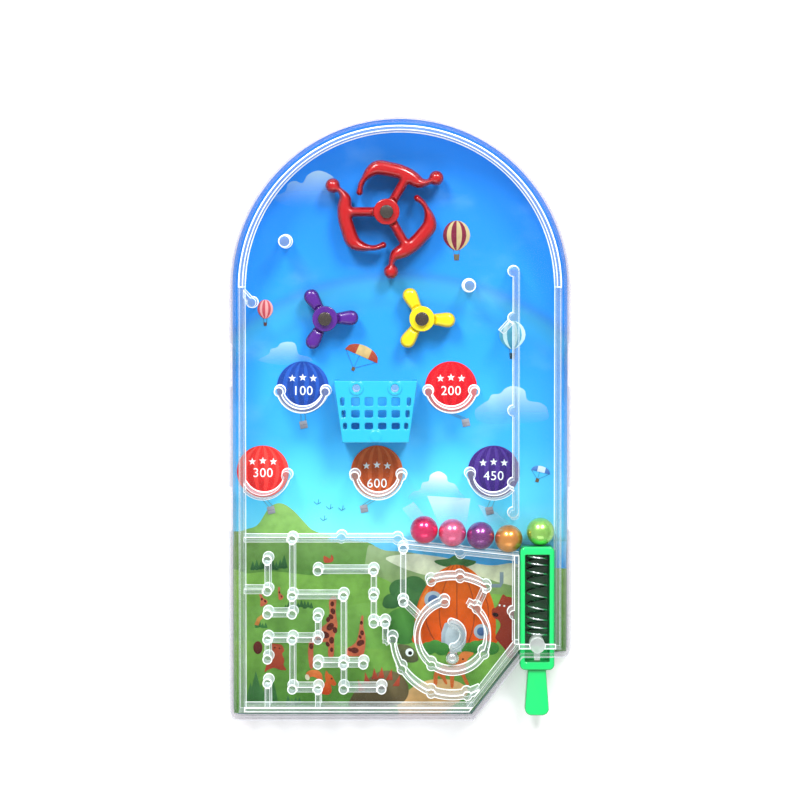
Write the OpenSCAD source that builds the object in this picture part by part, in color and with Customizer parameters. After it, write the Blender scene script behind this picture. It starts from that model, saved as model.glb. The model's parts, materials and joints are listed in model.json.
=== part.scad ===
// Flat pocket pinball game in a clear plastic case, lying on its back.
// X runs to the right, Y towards the round top, Z out of the playing face.
// The origin is on the table, under the middle of the case.

/* [Case] */
// Width of the case
case_w = 101; // [99:1:125]
// Length of the case, round top included
case_l = 178; // [176:1:215]
// Radius of the lower left corner
corner_r = 3.1; // [1.5:0.1:4.5]
// Width of the slanted lower right corner, from its foot to the launch lane
notch_w = 12.85; // [10.25:0.05:15.25]
// Slope of the lower right corner
notch_angle = 52; // [48:1:56]
// Distance of the launch lane's lower end above the bottom of the case
lane_end = 18.5; // [15:0.5:24]
// Thickness of the clear back cover
back_t = 1.2; // [1:0.1:2]
// Thickness of the clear front cover
front_t = 1.4; // [1:0.1:2]
// Width of the back cover's raised rim
rim_w = 1; // [0.8:0.1:1.1]
// Height of the back cover's raised rim above its plate
rim_h = 1.4; // [1:0.1:2]
// Wall of the front cover's side band
band_t = 1.1; // [0.8:0.1:1.2]
// Thickness of the printed card
card_t = 0.4; // [0.2:0.1:0.6]

/* [Play tray] */
// Thickness of the tray's floor
tray_t = 1.2; // [0.8:0.1:2]
// Free height between the tray's floor and the front cover
play_h = 10.6; // [10.3:0.1:13]
// Thickness of the moulded walls
wall_t = 1.5; // [1.2:0.1:1.8]
// Radius of the round posts at the wall ends
post_r = 1.45; // [1.2:0.05:1.7]
// Radius of the two lone guide pins
pin_r = 1.85; // [1.5:0.05:2.5]
// Width of the launch lane
lane_w = 10.75; // [10.4:0.05:12]

/* [Beads] */
// Diameter of a playing bead
bead_d = 8.2; // [6:0.1:8.4]
// Gap between two beads that lie side by side
bead_gap = 0.12; // [0.05:0.01:0.4]
// Diameter of the small steel ball in the maze
ball_d = 4.1; // [3:0.1:4.4]

/* [Shelf] */
// Height of the shelf's level stretch above the tray's lower inner wall
shelf_h = 49.1; // [48:0.1:60]
// Slope of the shelf's falling stretch
shelf_angle = 6; // [4:0.1:9]
// Length of the falling stretch along X
shelf_run = 31.5; // [29:0.1:34]

/* [Cups] */
// Radius of a scoring cup, to the middle of its wall
cup_r = 6.85; // [6:0.05:7.2]
// Height of the upper row of cups above the shelf
upper_cups = 44.4; // [42:0.1:47]
// Height of the lower row of cups above the shelf
lower_cups = 19.1; // [18:0.1:21]

/* [Maze] */
// Radius of the round chamber, to the middle of its wall
ring_r = 10.4; // [10:0.1:12]
// Radius of the arcs around the chamber
outer_r = 17.6; // [17:0.1:19]
// Radius of the hook inside the chamber
hook_r = 3.75; // [3.2:0.05:4]
// Radius of the small posts at the hook's ends
hook_post_r = 0.85; // [0.8:0.05:1.1]
// How far the chamber's posts stand in from the middle of its wall
post_in = 1.45; // [1.2:0.05:1.7]

/* [Spinner] */
// Radius of the spinner, out to the middle of its balls
spinner_r = 17.5; // [14:0.5:19]
// Height of the spinner's blades
spinner_h = 4.6; // [3:0.1:5.5]
// Height of the spinner's hub
hub_h = 6; // [5.5:0.1:7]
// Radius of the spinner's steel pin
spinner_pin_r = 1.5; // [1.2:0.05:2]
// Reach of a propeller's blades
propeller_r = 9.8; // [7.5:0.1:10.2]
// Radius of a propeller's pin
propeller_pin_r = 1.6; // [1:0.05:1.9]
// Gap between a pin and its bore
running_gap = 0.06; // [0.02:0.01:0.1]

/* [Basket] */
// Width of the basket at its mouth
basket_top_w = 24.4; // [22:0.1:26]
// Width of the basket at its bottom
basket_bottom_w = 19.4; // [17:0.1:21]
// Height of the basket along Y
basket_l = 18.1; // [17:0.1:20]
// Wall of the basket
basket_t = 1.4; // [1:0.1:1.8]
// Thickness of the basket's front grille
grille_t = 1.6; // [1:0.1:1.8]
// Radius of the posts that hold the basket
rivet_r = 1.1; // [0.9:0.05:1.3]

/* [Plunger] */
// Gap between the plunger and the sides of the lane
plunger_gap = 0.32; // [0.25:0.01:0.5]
// Height of the plunger
plunger_h = 7.8; // [7:0.1:8.2]
// Width of the plunger's side rails
rail_t = 1.5; // [1.2:0.1:2]
// Thickness of the plunger's floor
plunger_floor = 1.1; // [0.8:0.1:1.4]
// Length of the plunger's head and of its foot bar along Y
bar_l = 2.4; // [2:0.1:3]
// Length of the pull handle
handle_l = 13.5; // [10:0.1:15]
// Width of the handle at the foot bar
handle_w = 5.2; // [4:0.1:6]
// Width of the handle at its round end
handle_end_w = 7; // [5:0.1:9]
// Radius of the post that the spring pushes on
stop_r = 2.2; // [1.8:0.1:2.4]
// Distance of the spring's post from the lane's lower end
stop_up = 4.6; // [4.6:0.1:6]
// Outer diameter of the spring
spring_d = 6.5; // [5.5:0.1:6.6]
// Diameter of the spring's wire
wire_d = 0.7; // [0.5:0.05:0.9]
// Number of turns in the spring
turns = 8.5; // [6:0.5:11]
// Length of the relaxed spring
spring_l = 23.9; // [20:0.1:26]

/* [Hidden] */

$fn = 64;
slip = 0.2;

// Heights
card_z = back_t;
tray_z = card_z + card_t;
floor_z = tray_z + tray_t;
cover_z = floor_z + play_h;
wall_h = play_h - 0.1;
blade_low = 0.9;

// Insets from the outside of the case
band_in = rim_w + slip;
band_inner = band_in + band_t;
tray_in = band_inner + slip;
wall_in = 3.5;
field_in = wall_in + wall_t;
card_in = band_in + 0.1;

// Lines of the playing field
half_w = case_w / 2;
half_l = case_l / 2;
arch_y = half_l - half_w;
field_x = half_w - field_in;
field_y = -half_l + field_in;
lane_bottom = -half_l + lane_end;
lane_face = field_x - lane_w;
lane_x = lane_face - wall_t / 2;
lane_post_x = lane_face - post_r - 0.05;
shelf_y = field_y + shelf_h;
lane_top = arch_y + 4.7;
lane_gap_top = shelf_y + 7.2;
channel_x = lane_face - wall_t;
slope_end = [channel_x, shelf_y - 5.3];
slope_start = slope_end + [-shelf_run, shelf_run * tan(shelf_angle)];
shelf_post = slope_start + [-2.4, 1.9];
slope_dir = [cos(shelf_angle), -sin(shelf_angle)];
slope_up = [sin(shelf_angle), cos(shelf_angle)];

// Plunger and spring
plunger_w = lane_w - 2 * plunger_gap;
plunger_x = lane_face + lane_w / 2;
plunger_z = floor_z + 0.3;
stop_y = lane_bottom + stop_up;
spring_y = stop_y + stop_r + 0.1;
head_y = spring_y + spring_l + 0.1;
head_top = head_y + bar_l;
stub_y = lane_bottom + 0.1;
foot_y = stub_y - 0.6;
foot_bottom = foot_y - bar_l;
slot_z = plunger_z + plunger_h + 0.3;
spring_z = plunger_z + plunger_floor + spring_d / 2 + 0.15;

// Beads
bead_r = bead_d / 2;
bead_z = floor_z + bead_r + 0.02;
bead_pitch = bead_d + bead_gap;
shelf_lift = wall_t / 2 + bead_r + 0.05;
last_bead_in = 1.9;
mid_post_in = last_bead_in + 1.5 * bead_pitch + 1.2935;
last_bead = slope_end + slope_up * shelf_lift - slope_dir * last_bead_in;
launch_bead = [plunger_x + 1, head_top + bead_r + 0.05];

// Round chamber of the maze
ring_c = [lane_x - 18.6, field_y + 20.4];
ring_ends = [103, 410];
function around(c, r, a) = c + r * [cos(a), sin(a)];
ring_left = around(ring_c, ring_r, ring_ends[0]);
ring_right = around(ring_c, ring_r + 0.5, ring_ends[1]);
ball_track = ring_r - post_in - ball_d / 2 - 0.04;

// Grid of the maze: columns from the left wall, rows from the lower wall
col = [for (d = [6.8, 14, 21.5, 29, 37.8, 41.2]) -field_x + d];
row = [for (d = [43.1, 39.9, 34, 32.5, 27.2, 24.6, 19.8, 18.6, 14, 12.5, 7, 5.2]) field_y + d];
drop_x = shelf_post[0] + 1.6;
drop_end = around(ring_c, ring_r + post_r, 149);
arc_start = around(ring_c, outer_r, 182);
arc_corner = [col[5], row[6] - 1];
maze_runs = [
    [[col[1], shelf_y], [col[1], row[3]], [col[1], row[4]], [col[0], row[4]]],
    [[col[1], row[3]], [col[3], row[3]], [col[3], row[9]], [col[3], row[11]], [col[4] + 2.3, row[11]]],
    [[-field_x, row[2]], [col[0], row[2]], [col[0], row[0]]],
    [[col[2], row[1]], [col[4], row[1]], [col[4], row[3]], [col[4], row[5]], [col[5], row[5]],
        arc_corner, arc_start],
    [[col[0], row[8]], [col[0], row[6]], [col[1], row[6]], [col[2], row[6]], [col[2], row[4] - 0.8]],
    [[col[1], row[6]], [col[1], row[11]], [col[2], row[11]], [col[2], field_y]],
    [[col[2], row[9]], [col[3], row[9]], [col[4] - 3, row[9]]],
    [[col[0], field_y], [col[0], row[10]]],
    [[drop_x, shelf_post[1] - 2.6], [drop_x, ring_left[1] + 0.2], drop_end],
    [ring_right, around(ring_c, outer_r, 56)]
];
maze_plain_ends = [arc_corner, arc_start, drop_end, ring_right, around(ring_c, outer_r, 56)];
function has_post(p) =
    p[0] > -field_x && p[1] > field_y && min([for (q = maze_plain_ends) norm(p - q)]) > 0.1;
maze_posts_at = [for (run = maze_runs) for (p = run) if (has_post(p)) p];

// Upper half of the field
lane_posts = [for (y = [0, 8.7, 30, lane_top - lane_gap_top - 13.7, lane_top - lane_gap_top])
    [lane_post_x, lane_gap_top + y]];
spinner_c = [-3.9, half_l - 28.5];
left_propeller_c = [-21.9, half_l - 59.7];
right_propeller_c = [6.4, half_l - 59.7];
upper_y = shelf_y + upper_cups;
lower_y = shelf_y + lower_cups;
cup_100_c = [-28.5, upper_y];
cup_200_c = [lane_x - 19, upper_y];
cup_300_c = [-field_x + 5.6, lower_y];
cup_600_c = [-6.4, lower_y];
cup_450_c = [lane_x - 6.6, lower_y];
basket_c = [-7.1, upper_y - 7.1];
rivet_x = 5.6;
rivet_y = basket_c[1] + basket_l / 2 - 2.2;
grille_z = floor_z + max(bead_d + 0.35, 8);

// ---------- shared shapes ----------

// Outline of the case, moved inwards by d
function notch_x(y, d) =
    lane_face - notch_w + (y + half_l) / tan(notch_angle) - d / sin(notch_angle);

module case_outline(d) {
    r = max(corner_r, d + 0.01);
    left = -half_w;
    low = -half_l;
    polygon([
        [left + d, arch_y],
        [left + d, low + r],
        [left + r, low + d],
        [notch_x(low + d, d), low + d],
        [notch_x(lane_bottom + d, d), lane_bottom + d],
        [half_w - r, lane_bottom + d],
        [half_w - d, lane_bottom + r],
        [half_w - d, arch_y]
    ]);
    translate([0, arch_y])
        circle(half_w - d, $fn = 128);
    if (corner_r - d > 0.2) {
        translate([left + r, low + r])
            circle(r - d);
        translate([half_w - r, lane_bottom + r])
            circle(r - d);
    }
}

module case_ring(outer, inner) {
    difference() {
        case_outline(outer);
        case_outline(inner);
    }
}

// Raises a flat outline from the tray's floor to the full height of the walls
module raised() {
    translate([0, 0, floor_z])
        linear_extrude(wall_h)
            children();
}

// Part of the tray's outer wall that lies inside a box
module rim_part(low, high) {
    raised()
        intersection() {
            case_ring(wall_in, field_in);
            translate(low)
                square(high - low);
        }
}

module post(at, r = post_r) {
    translate(at)
        circle(r, $fn = 32);
}

module wall(a, b) {
    d = b - a;
    translate(a)
        rotate(atan2(d[1], d[0]))
            translate([0, -wall_t / 2])
                square([norm(d), wall_t]);
}

module arc_wall(c, r, from, to) {
    pieces = ceil((to - from) / 60);
    fan = [for (i = [0 : pieces]) around([0, 0], 2 * r, from + (to - from) * i / pieces)];
    translate(c)
        intersection() {
            difference() {
                circle(r + wall_t / 2);
                circle(r - wall_t / 2);
            }
            polygon(concat([[0, 0]], fan));
        }
}

// Everything on one side of a line across the field, for trimming wall ends
module beyond(x, side) {
    translate([x + (side < 0 ? -case_w : 0), -case_l])
        square([case_w, 2 * case_l]);
}

// Open cup with a round post on each free end
module cup(c, from, to, posts) {
    arc_wall(c, cup_r, from, to);
    for (a = posts)
        post(around(c, cup_r, a));
}

// ---------- case ----------

module back_cover() {
    color("aliceblue", 0.4) {
        linear_extrude(back_t)
            case_outline(0);
        translate([0, 0, back_t])
            linear_extrude(rim_h)
                case_ring(0, rim_w);
    }
}

module picture_card() {
    color("deepskyblue")
        translate([0, 0, card_z])
            linear_extrude(card_t)
                case_outline(card_in);
}

module play_tray() {
    color("lightcyan", 0.4)
        translate([0, 0, tray_z])
            linear_extrude(tray_t)
                case_outline(tray_in);
}

module arch_wall() {
    color("lightcyan", 0.5)
        rim_part([-half_w, arch_y], [half_w, half_l]);
}

module left_wall() {
    color("lightcyan", 0.5)
        rim_part([-half_w, -half_l], [-field_x, arch_y]);
}

module right_wall() {
    color("lightcyan", 0.5)
        rim_part([field_x, -half_l], [half_w, arch_y]);
}

module bottom_wall() {
    color("lightcyan", 0.5)
        rim_part([-field_x, -half_l], [half_w, field_y]);
}

module corner_wall() {
    color("lightcyan", 0.5)
        rim_part([0, field_y], [lane_face, lane_bottom + field_in]);
}

// Beam that closes the lane's lower end above the plunger
module lane_bridge() {
    color("lightcyan", 0.5)
        translate([0, 0, slot_z])
            linear_extrude(floor_z + wall_h - slot_z)
                intersection() {
                    case_ring(wall_in, field_in);
                    difference() {
                        translate([lane_face, lane_bottom])
                            square([lane_w, field_in]);
                        translate([plunger_x, stop_y])
                            circle(stop_r);
                    }
                }
}

module side_band() {
    color("aliceblue", 0.4)
        difference() {
            translate([0, 0, tray_z])
                linear_extrude(cover_z - tray_z)
                    case_ring(band_in, band_inner);
            translate([lane_face, lane_bottom - 1, 0])
                cube([lane_w, band_inner + 2, slot_z]);
        }
}

module front_cover() {
    color("aliceblue", 0.3)
        translate([0, 0, cover_z])
            linear_extrude(front_t)
                case_outline(band_in);
}

// Hooks on the side band that lock over the back cover's rim
module snap_clips() {
    clip_l = 12.6;
    clip_t = rim_w - 0.2;
    clip_h = 4;
    color("aliceblue", 0.6)
        for (side = [-1, 1])
            for (y = [arch_y - 22.8, lane_bottom + 44])
                translate([side * (half_w - band_in + clip_t / 2), y, back_t + rim_h + 0.1 + clip_h / 2])
                    cube([clip_t, clip_l, clip_h], center = true);
}

// ---------- walls of the playing field ----------

module lane_wall() {
    color("lightcyan", 0.6)
        raised() {
            wall([lane_x, lane_top], [lane_x, lane_gap_top]);
            for (p = lane_posts)
                post(p);
        }
}

module channel_wall() {
    color("lightcyan", 0.6)
        raised() {
            wall([lane_x, slope_end[1] + wall_t / 2], [lane_x, lane_bottom + field_in]);
            post([lane_post_x, lane_bottom + 13.6]);
        }
}

module shelf_outline() {
    difference() {
        union() {
            wall([-field_x, shelf_y], [shelf_post[0], shelf_y]);
            wall(shelf_post, slope_start);
            wall(slope_start, slope_end + slope_dir);
            post([col[3] - 0.6, shelf_y + 0.4]);
            post(shelf_post);
            post(slope_end - slope_dir * mid_post_in - slope_up * 0.5);
        }
        post([col[1], shelf_y]);
        beyond(channel_x, 1);
        post([drop_x, shelf_post[1] - 2.6]);
    }
}

module shelf() {
    color("lightcyan", 0.6)
        raised()
            shelf_outline();
}

// Straight walls of the maze, each cut to fit between the posts at its ends
module maze_walls() {
    color("lightcyan", 0.6)
        raised()
            difference() {
                for (run = maze_runs)
                    for (i = [1 : len(run) - 1])
                        wall(run[i - 1], run[i]);
                for (p = maze_posts_at)
                    post(p);
                ring_outline();
                lower_arc_outline();
                upper_arc_outline();
            }
}

module maze_posts() {
    color("azure", 0.7)
        raised()
            for (p = maze_posts_at)
                post(p);
}

module ring_outline() {
    arc_wall(ring_c, ring_r, ring_ends[0], ring_ends[1]);
    wall(ring_right, ring_right + [-2.4, 1.3]);
    post(ring_left);
    post(ring_right);
    for (a = [233, 332])
        post(around(ring_c, ring_r + post_r - post_in, a));
}

module ring_wall() {
    color("lightcyan", 0.6)
        raised()
            ring_outline();
}

module upper_arc_outline() {
    arc_wall(ring_c, outer_r, 56, 111);
    for (a = [56, 83, 111])
        post(around(ring_c, outer_r, a));
}

module upper_arc() {
    color("lightcyan", 0.6)
        raised()
            upper_arc_outline();
}

module lower_arc_outline() {
    difference() {
        union() {
            arc_wall(ring_c, outer_r, 182, 297);
            for (a = [182, 212, 249, 284])
                post(around(ring_c, outer_r, a));
        }
        case_ring(wall_in, field_in);
    }
}

module lower_arc() {
    color("lightcyan", 0.6)
        raised()
            lower_arc_outline();
}

module hook_wall() {
    hook_c = ring_c + [-0.6, -0.2];
    color("lightcyan", 0.6)
        raised() {
            arc_wall(hook_c, hook_r, -85, 85);
            for (a = [-78, 85])
                post(around(hook_c, hook_r, a), hook_post_r);
        }
}

module cup_100() {
    color("lightcyan", 0.6)
        raised()
            cup(cup_100_c, 191, 349, [191, 349]);
}

module cup_200() {
    color("lightcyan", 0.6)
        raised()
            cup(cup_200_c, 191, 349, [191, 349]);
}

module cup_600() {
    color("lightcyan", 0.6)
        raised()
            cup(cup_600_c, 185, 355, [185, 355]);
}

// The outer two cups of the lower row end on the walls beside them
module cup_300() {
    color("lightcyan", 0.6)
        raised()
            difference() {
                cup(cup_300_c, 200, 355, [355]);
                beyond(-field_x, -1);
            }
}

module cup_450() {
    color("lightcyan", 0.6)
        raised()
            difference() {
                cup(cup_450_c, 182, 338, [182]);
                beyond(channel_x, 1);
                post(lane_posts[1]);
            }
}

module guide_pins() {
    color("azure", 0.7)
        raised() {
            post([-33.5, half_l - 37.1], pin_r);
            post([20.2, half_l - 50], pin_r);
        }
}

// Short fins that turn a bead away from the left wall and the lane
module deflectors() {
    fin_end = [-field_x + 2.3, arch_y - 4.4];
    lane_post = lane_posts[3];
    color("lightcyan", 0.6)
        raised()
            difference() {
                union() {
                    wall([-field_x - 1, arch_y - 0.6], fin_end);
                    post(fin_end);
                    wall(lane_post + [-3.6, -4], lane_post);
                }
                beyond(-field_x, -1);
                post(lane_post);
            }
}

// ---------- basket ----------

function basket_half(y) =
    (basket_bottom_w + (basket_top_w - basket_bottom_w) * (y / basket_l + 0.5)) / 2;

module basket_shape(t) {
    low = -basket_l / 2 + t;
    high = basket_l / 2 + (t > 0 ? 1 : 0);
    polygon([
        [-basket_half(low) + t, low],
        [basket_half(low) - t, low],
        [basket_half(high) - t, high],
        [-basket_half(high) + t, high]
    ]);
}

module basket_front() {
    window = 2.3;
    pitch = 3.9;
    row_pitch = 3.55;
    top_row = 2.9;
    color("deepskyblue")
        translate([basket_c[0], basket_c[1], grille_z]) {
            difference() {
                linear_extrude(grille_t)
                    basket_shape(0);
                for (i = [0 : 2])
                    for (x = [-1.5 : 1.5])
                        translate([x * pitch, top_row - i * row_pitch, grille_t / 2])
                            cube([window, window - i * 0.25, 2 * grille_t], center = true);
                for (i = [0 : 2])
                    for (side = [-1, 1])
                        translate([side * (9.7 - i * 0.4), top_row - i * row_pitch, grille_t / 2])
                            cube([1.1, window - i * 0.25, 2 * grille_t], center = true);
                for (side = [-1, 1])
                    translate([side * rivet_x, rivet_y - basket_c[1], -1])
                        cylinder(h = 2 * grille_t, r = rivet_r + 0.03);
            }
            for (side = [-1, 1])
                translate([side * rivet_x, rivet_y - basket_c[1], grille_t])
                    difference() {
                        cylinder(h = 0.3, r = 2);
                        translate([0, 0, -1])
                            cylinder(h = 2, r = rivet_r + 0.03);
                    }
            translate([0, 1.9 - basket_l / 2, grille_t])
                cylinder(h = 0.2, r = 1.6);
        }
}

module basket_walls() {
    color("deepskyblue")
        translate([basket_c[0], basket_c[1], floor_z])
            linear_extrude(grille_z - floor_z)
                difference() {
                    basket_shape(0);
                    basket_shape(basket_t);
                }
}

module basket_rivets() {
    color("white")
        for (side = [-1, 1])
            translate([basket_c[0] + side * rivet_x, rivet_y, floor_z])
                cylinder(h = grille_z + grille_t + 0.2 - floor_z, r = rivet_r);
}

// ---------- spinner and propellers ----------

// Pin with a flat round head that keeps a rotor on it
module rotor_pin(c, r, head_r, hub_h) {
    translate([c[0], c[1], floor_z]) {
        cylinder(h = hub_h + 0.9, r = r);
        translate([0, 0, hub_h + 0.9])
            cylinder(h = 0.8, r = head_r);
    }
}

// Middle line of a curved blade from its ball to its tip, and the blade's half width there,
// all as shares of the spinner's radius
blade_path = [[-0.9, 0.436], [-0.758, 0.337], [-0.695, 0.223], [-0.702, 0.063], [-0.693, -0.123],
    [-0.638, -0.314], [-0.566, -0.491], [-0.44, -0.571], [-0.291, -0.6], [-0.171, -0.597],
    [-0.057, -0.554]];
blade_halves = [0.05, 0.055, 0.1, 0.123, 0.121, 0.122, 0.124, 0.093, 0.052, 0.048, 0.052];

// Smooth run through a list of points or numbers, a whole number being the place of one of them
function near(list, i) = list[min(max(i, 0), len(list) - 1)];
function run_at(list, t) =
    let (i = min(floor(t), len(list) - 2), f = t - i)
    let (a = near(list, i - 1), b = list[i], c = list[i + 1], d = near(list, i + 2))
    b + f / 2 * (c - a + f * (2 * a - 5 * b + 4 * c - d + f * (3 * (b - c) + d - a)));
function blade_normal(t) =
    let (d = run_at(blade_path, min(t + 0.1, len(blade_path) - 1)) - run_at(blade_path, max(t - 0.1, 0)))
    [-d[1], d[0]] / norm(d);
function blade_edge(t, side) =
    spinner_r * (run_at(blade_path, t) + side * run_at(blade_halves, t) * blade_normal(t));

module spinner_blade() {
    last = len(blade_path) - 1;
    steps = 3 * last;
    ball_r = 2.15;
    linear_extrude(spinner_h) {
        polygon(concat(
            [for (i = [0 : steps]) blade_edge(i / 3, 1)],
            [for (i = [steps : -1 : 0]) blade_edge(i / 3, -1)]
        ));
        translate(spinner_r * blade_path[0])
            circle(ball_r);
        translate(spinner_r * blade_path[last])
            circle(1);
        translate([-spinner_r * 0.66, -1.4])
            square([spinner_r * 0.66, 2.8]);
    }
}

module spinner() {
    hub_r = 3.8;
    color("red")
        translate([spinner_c[0], spinner_c[1], floor_z + 0.4])
            difference() {
                union() {
                    cylinder(h = hub_h, r = hub_r);
                    for (a = [0, 120, 240])
                        rotate([0, 0, a])
                            translate([0, 0, blade_low])
                                spinner_blade();
                }
                translate([0, 0, -1])
                    cylinder(h = hub_h + 2, r = spinner_pin_r + running_gap);
            }
}

module spinner_pin() {
    color("silver")
        rotor_pin(spinner_c, spinner_pin_r, 1.95, hub_h);
}

module propeller(c, turned) {
    hub_r = 3.7;
    tip_r = 2.2;
    reach = propeller_r - tip_r;
    translate([c[0], c[1], floor_z + 0.4])
        difference() {
            union() {
                cylinder(h = hub_h - 0.6, r = hub_r);
                for (a = [0, 120, 240])
                    rotate([0, 0, a + turned])
                        translate([0, 0, blade_low])
                            linear_extrude(hub_h - 2.2) {
                                translate([reach, 0])
                                    circle(tip_r);
                                polygon([[0, -1], [reach - 0.8, -tip_r * 0.98], [reach, -tip_r], [reach, tip_r],
                                    [reach - 0.8, tip_r * 0.98], [0, 1]]);
                            }
            }
            translate([0, 0, -1])
                cylinder(h = hub_h + 2, r = propeller_pin_r + running_gap);
        }
}

module left_propeller() {
    color("mediumorchid")
        propeller(left_propeller_c, 2);
}

module left_propeller_pin() {
    color("silver")
        rotor_pin(left_propeller_c, propeller_pin_r, 2, hub_h - 0.6);
}

module right_propeller() {
    color("gold")
        propeller(right_propeller_c, -3);
}

module right_propeller_pin() {
    color("silver")
        rotor_pin(right_propeller_c, propeller_pin_r, 2, hub_h - 0.6);
}

// ---------- plunger ----------

module plunger() {
    bar_r = 1.6;
    handle_r = 2;
    body_l = head_top - foot_bottom;
    handle_z = plunger_z + 1;
    handle_h = plunger_h - 2;
    end_r = handle_end_w / 2;
    color("limegreen") {
        difference() {
            translate([plunger_x - plunger_w / 2, foot_bottom, plunger_z])
                linear_extrude(plunger_h)
                    union() {
                        translate([0, bar_r])
                            square([plunger_w, body_l - 2 * bar_r]);
                        translate([bar_r, 0])
                            square([plunger_w - 2 * bar_r, body_l]);
                        for (x = [bar_r, plunger_w - bar_r])
                            for (y = [bar_r, body_l - bar_r])
                                translate([x, y])
                                    circle(bar_r);
                    }
            translate([plunger_x - plunger_w / 2 + rail_t, foot_y, plunger_z + plunger_floor])
                cube([plunger_w - 2 * rail_t, head_y - foot_y, plunger_h]);
        }
        translate([plunger_x, foot_bottom, handle_z])
            linear_extrude(handle_h) {
                polygon([
                    [-handle_w / 2, 0.5],
                    [handle_w / 2, 0.5],
                    [end_r, -handle_l + handle_r],
                    [end_r - handle_r, -handle_l],
                    [handle_r - end_r, -handle_l],
                    [-end_r, -handle_l + handle_r]
                ]);
                for (x = [-1, 1])
                    translate([x * (end_r - handle_r), -handle_l + handle_r])
                        circle(handle_r);
            }
    }
}

// Post on the front cover that holds the spring's lower end, with a stub that stops the plunger
module spring_stop() {
    low_z = plunger_z + plunger_floor + 0.3;
    color("lightcyan", 0.7) {
        translate([plunger_x, stop_y, low_z])
            cylinder(h = cover_z - low_z, r = stop_r);
        translate([plunger_x - 0.8, stub_y, low_z])
            cube([1.6, stop_y - stub_y, slot_z - low_z - 0.02]);
    }
}

// Coil swept along a helix
module plunger_spring() {
    sides = 8;
    per_turn = 18;
    rings = turns * per_turn;
    coil_r = (spring_d - wire_d) / 2;
    rise = spring_l - wire_d;
    function ring_point(i, k) =
        let (a = 360 * i / per_turn, b = 360 * k / sides, r = coil_r + wire_d / 2 * cos(b))
        [r * cos(a), r * sin(a), wire_d / 2 + rise * i / rings + wire_d / 2 * sin(b)];
    points = [for (i = [0 : rings]) for (k = [0 : sides - 1]) ring_point(i, k)];
    side_faces = [for (i = [0 : rings - 1]) for (k = [0 : sides - 1])
        let (n = (k + 1) % sides)
        [i * sides + k, i * sides + n, (i + 1) * sides + n, (i + 1) * sides + k]];
    first = [for (k = [sides - 1 : -1 : 0]) k];
    last = [for (k = [0 : sides - 1]) rings * sides + k];
    color("silver")
        translate([plunger_x, spring_y, spring_z])
            rotate([-90, 0, 0])
                polyhedron(points = points, faces = concat([first], side_faces, [last]));
}

// ---------- beads ----------

module bead(at) {
    translate([at[0], at[1], bead_z])
        sphere(bead_r);
}

module bead_green() {
    color("yellowgreen")
        bead(launch_bead);
}

module bead_gold() {
    color("goldenrod")
        bead(last_bead);
}

module bead_purple() {
    color("mediumpurple")
        bead(last_bead - slope_dir * bead_pitch);
}

module bead_pink() {
    color("pink")
        bead(last_bead - slope_dir * bead_pitch * 2);
}

module bead_magenta() {
    color("deeppink")
        bead(last_bead - slope_dir * bead_pitch * 3);
}

module steel_ball() {
    color("gray")
        translate([ring_c[0], ring_c[1] - ball_track, floor_z + ball_d / 2 + 0.02])
            sphere(ball_d / 2);
}

back_cover();
picture_card();
play_tray();
arch_wall();
left_wall();
bottom_wall();
corner_wall();
right_wall();
lane_bridge();
side_band();
front_cover();
snap_clips();
lane_wall();
channel_wall();
shelf();
maze_walls();
maze_posts();
ring_wall();
upper_arc();
lower_arc();
hook_wall();
cup_100();
cup_200();
cup_300();
cup_600();
cup_450();
guide_pins();
deflectors();
spring_stop();
basket_front();
basket_walls();
basket_rivets();
spinner();
spinner_pin();
left_propeller();
left_propeller_pin();
right_propeller();
right_propeller_pin();
plunger();
plunger_spring();
bead_green();
bead_gold();
bead_purple();
bead_pink();
bead_magenta();
steel_ball();
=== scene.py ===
# %% [markdown]
# # A pocket pinball game in a clear case
#
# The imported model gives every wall, bead and pin its place and its way of moving. This
# script adds what the eye sees: clear plastic, pearl beads, a printed card and bright
# coloured plastic. All lengths in the cells are in millimetres and are turned into metres
# at the moment a mesh is made.

import json
import math
import random

import bmesh
import bpy
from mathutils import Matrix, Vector
from mathutils.kdtree import KDTree


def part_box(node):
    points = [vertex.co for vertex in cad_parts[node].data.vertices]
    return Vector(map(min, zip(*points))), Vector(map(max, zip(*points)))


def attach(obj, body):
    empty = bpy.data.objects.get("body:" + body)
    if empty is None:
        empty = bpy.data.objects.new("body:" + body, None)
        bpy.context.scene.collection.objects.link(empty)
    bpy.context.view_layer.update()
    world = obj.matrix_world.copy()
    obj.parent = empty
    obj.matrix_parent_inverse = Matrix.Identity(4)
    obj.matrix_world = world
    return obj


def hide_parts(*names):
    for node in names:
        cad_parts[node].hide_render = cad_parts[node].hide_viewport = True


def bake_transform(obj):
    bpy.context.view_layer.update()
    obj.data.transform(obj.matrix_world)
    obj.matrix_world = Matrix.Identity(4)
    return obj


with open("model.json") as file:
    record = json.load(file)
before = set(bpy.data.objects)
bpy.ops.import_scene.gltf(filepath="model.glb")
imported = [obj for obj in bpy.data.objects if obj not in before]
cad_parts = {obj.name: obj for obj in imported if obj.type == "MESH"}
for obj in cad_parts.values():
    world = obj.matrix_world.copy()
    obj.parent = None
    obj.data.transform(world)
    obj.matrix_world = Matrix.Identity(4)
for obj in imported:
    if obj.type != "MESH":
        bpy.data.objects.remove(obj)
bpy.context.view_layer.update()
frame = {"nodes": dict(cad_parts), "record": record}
MM = 0.001
print("nodes in the frame:", len(frame["nodes"]))

# %% [markdown]
# ## Shader maths as plain sums
#
# A material is a graph of nodes. Wrapping a socket in a small class lets a finish be written
# as a sum, and a second class adds any other node with its settings and its inputs.


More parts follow.
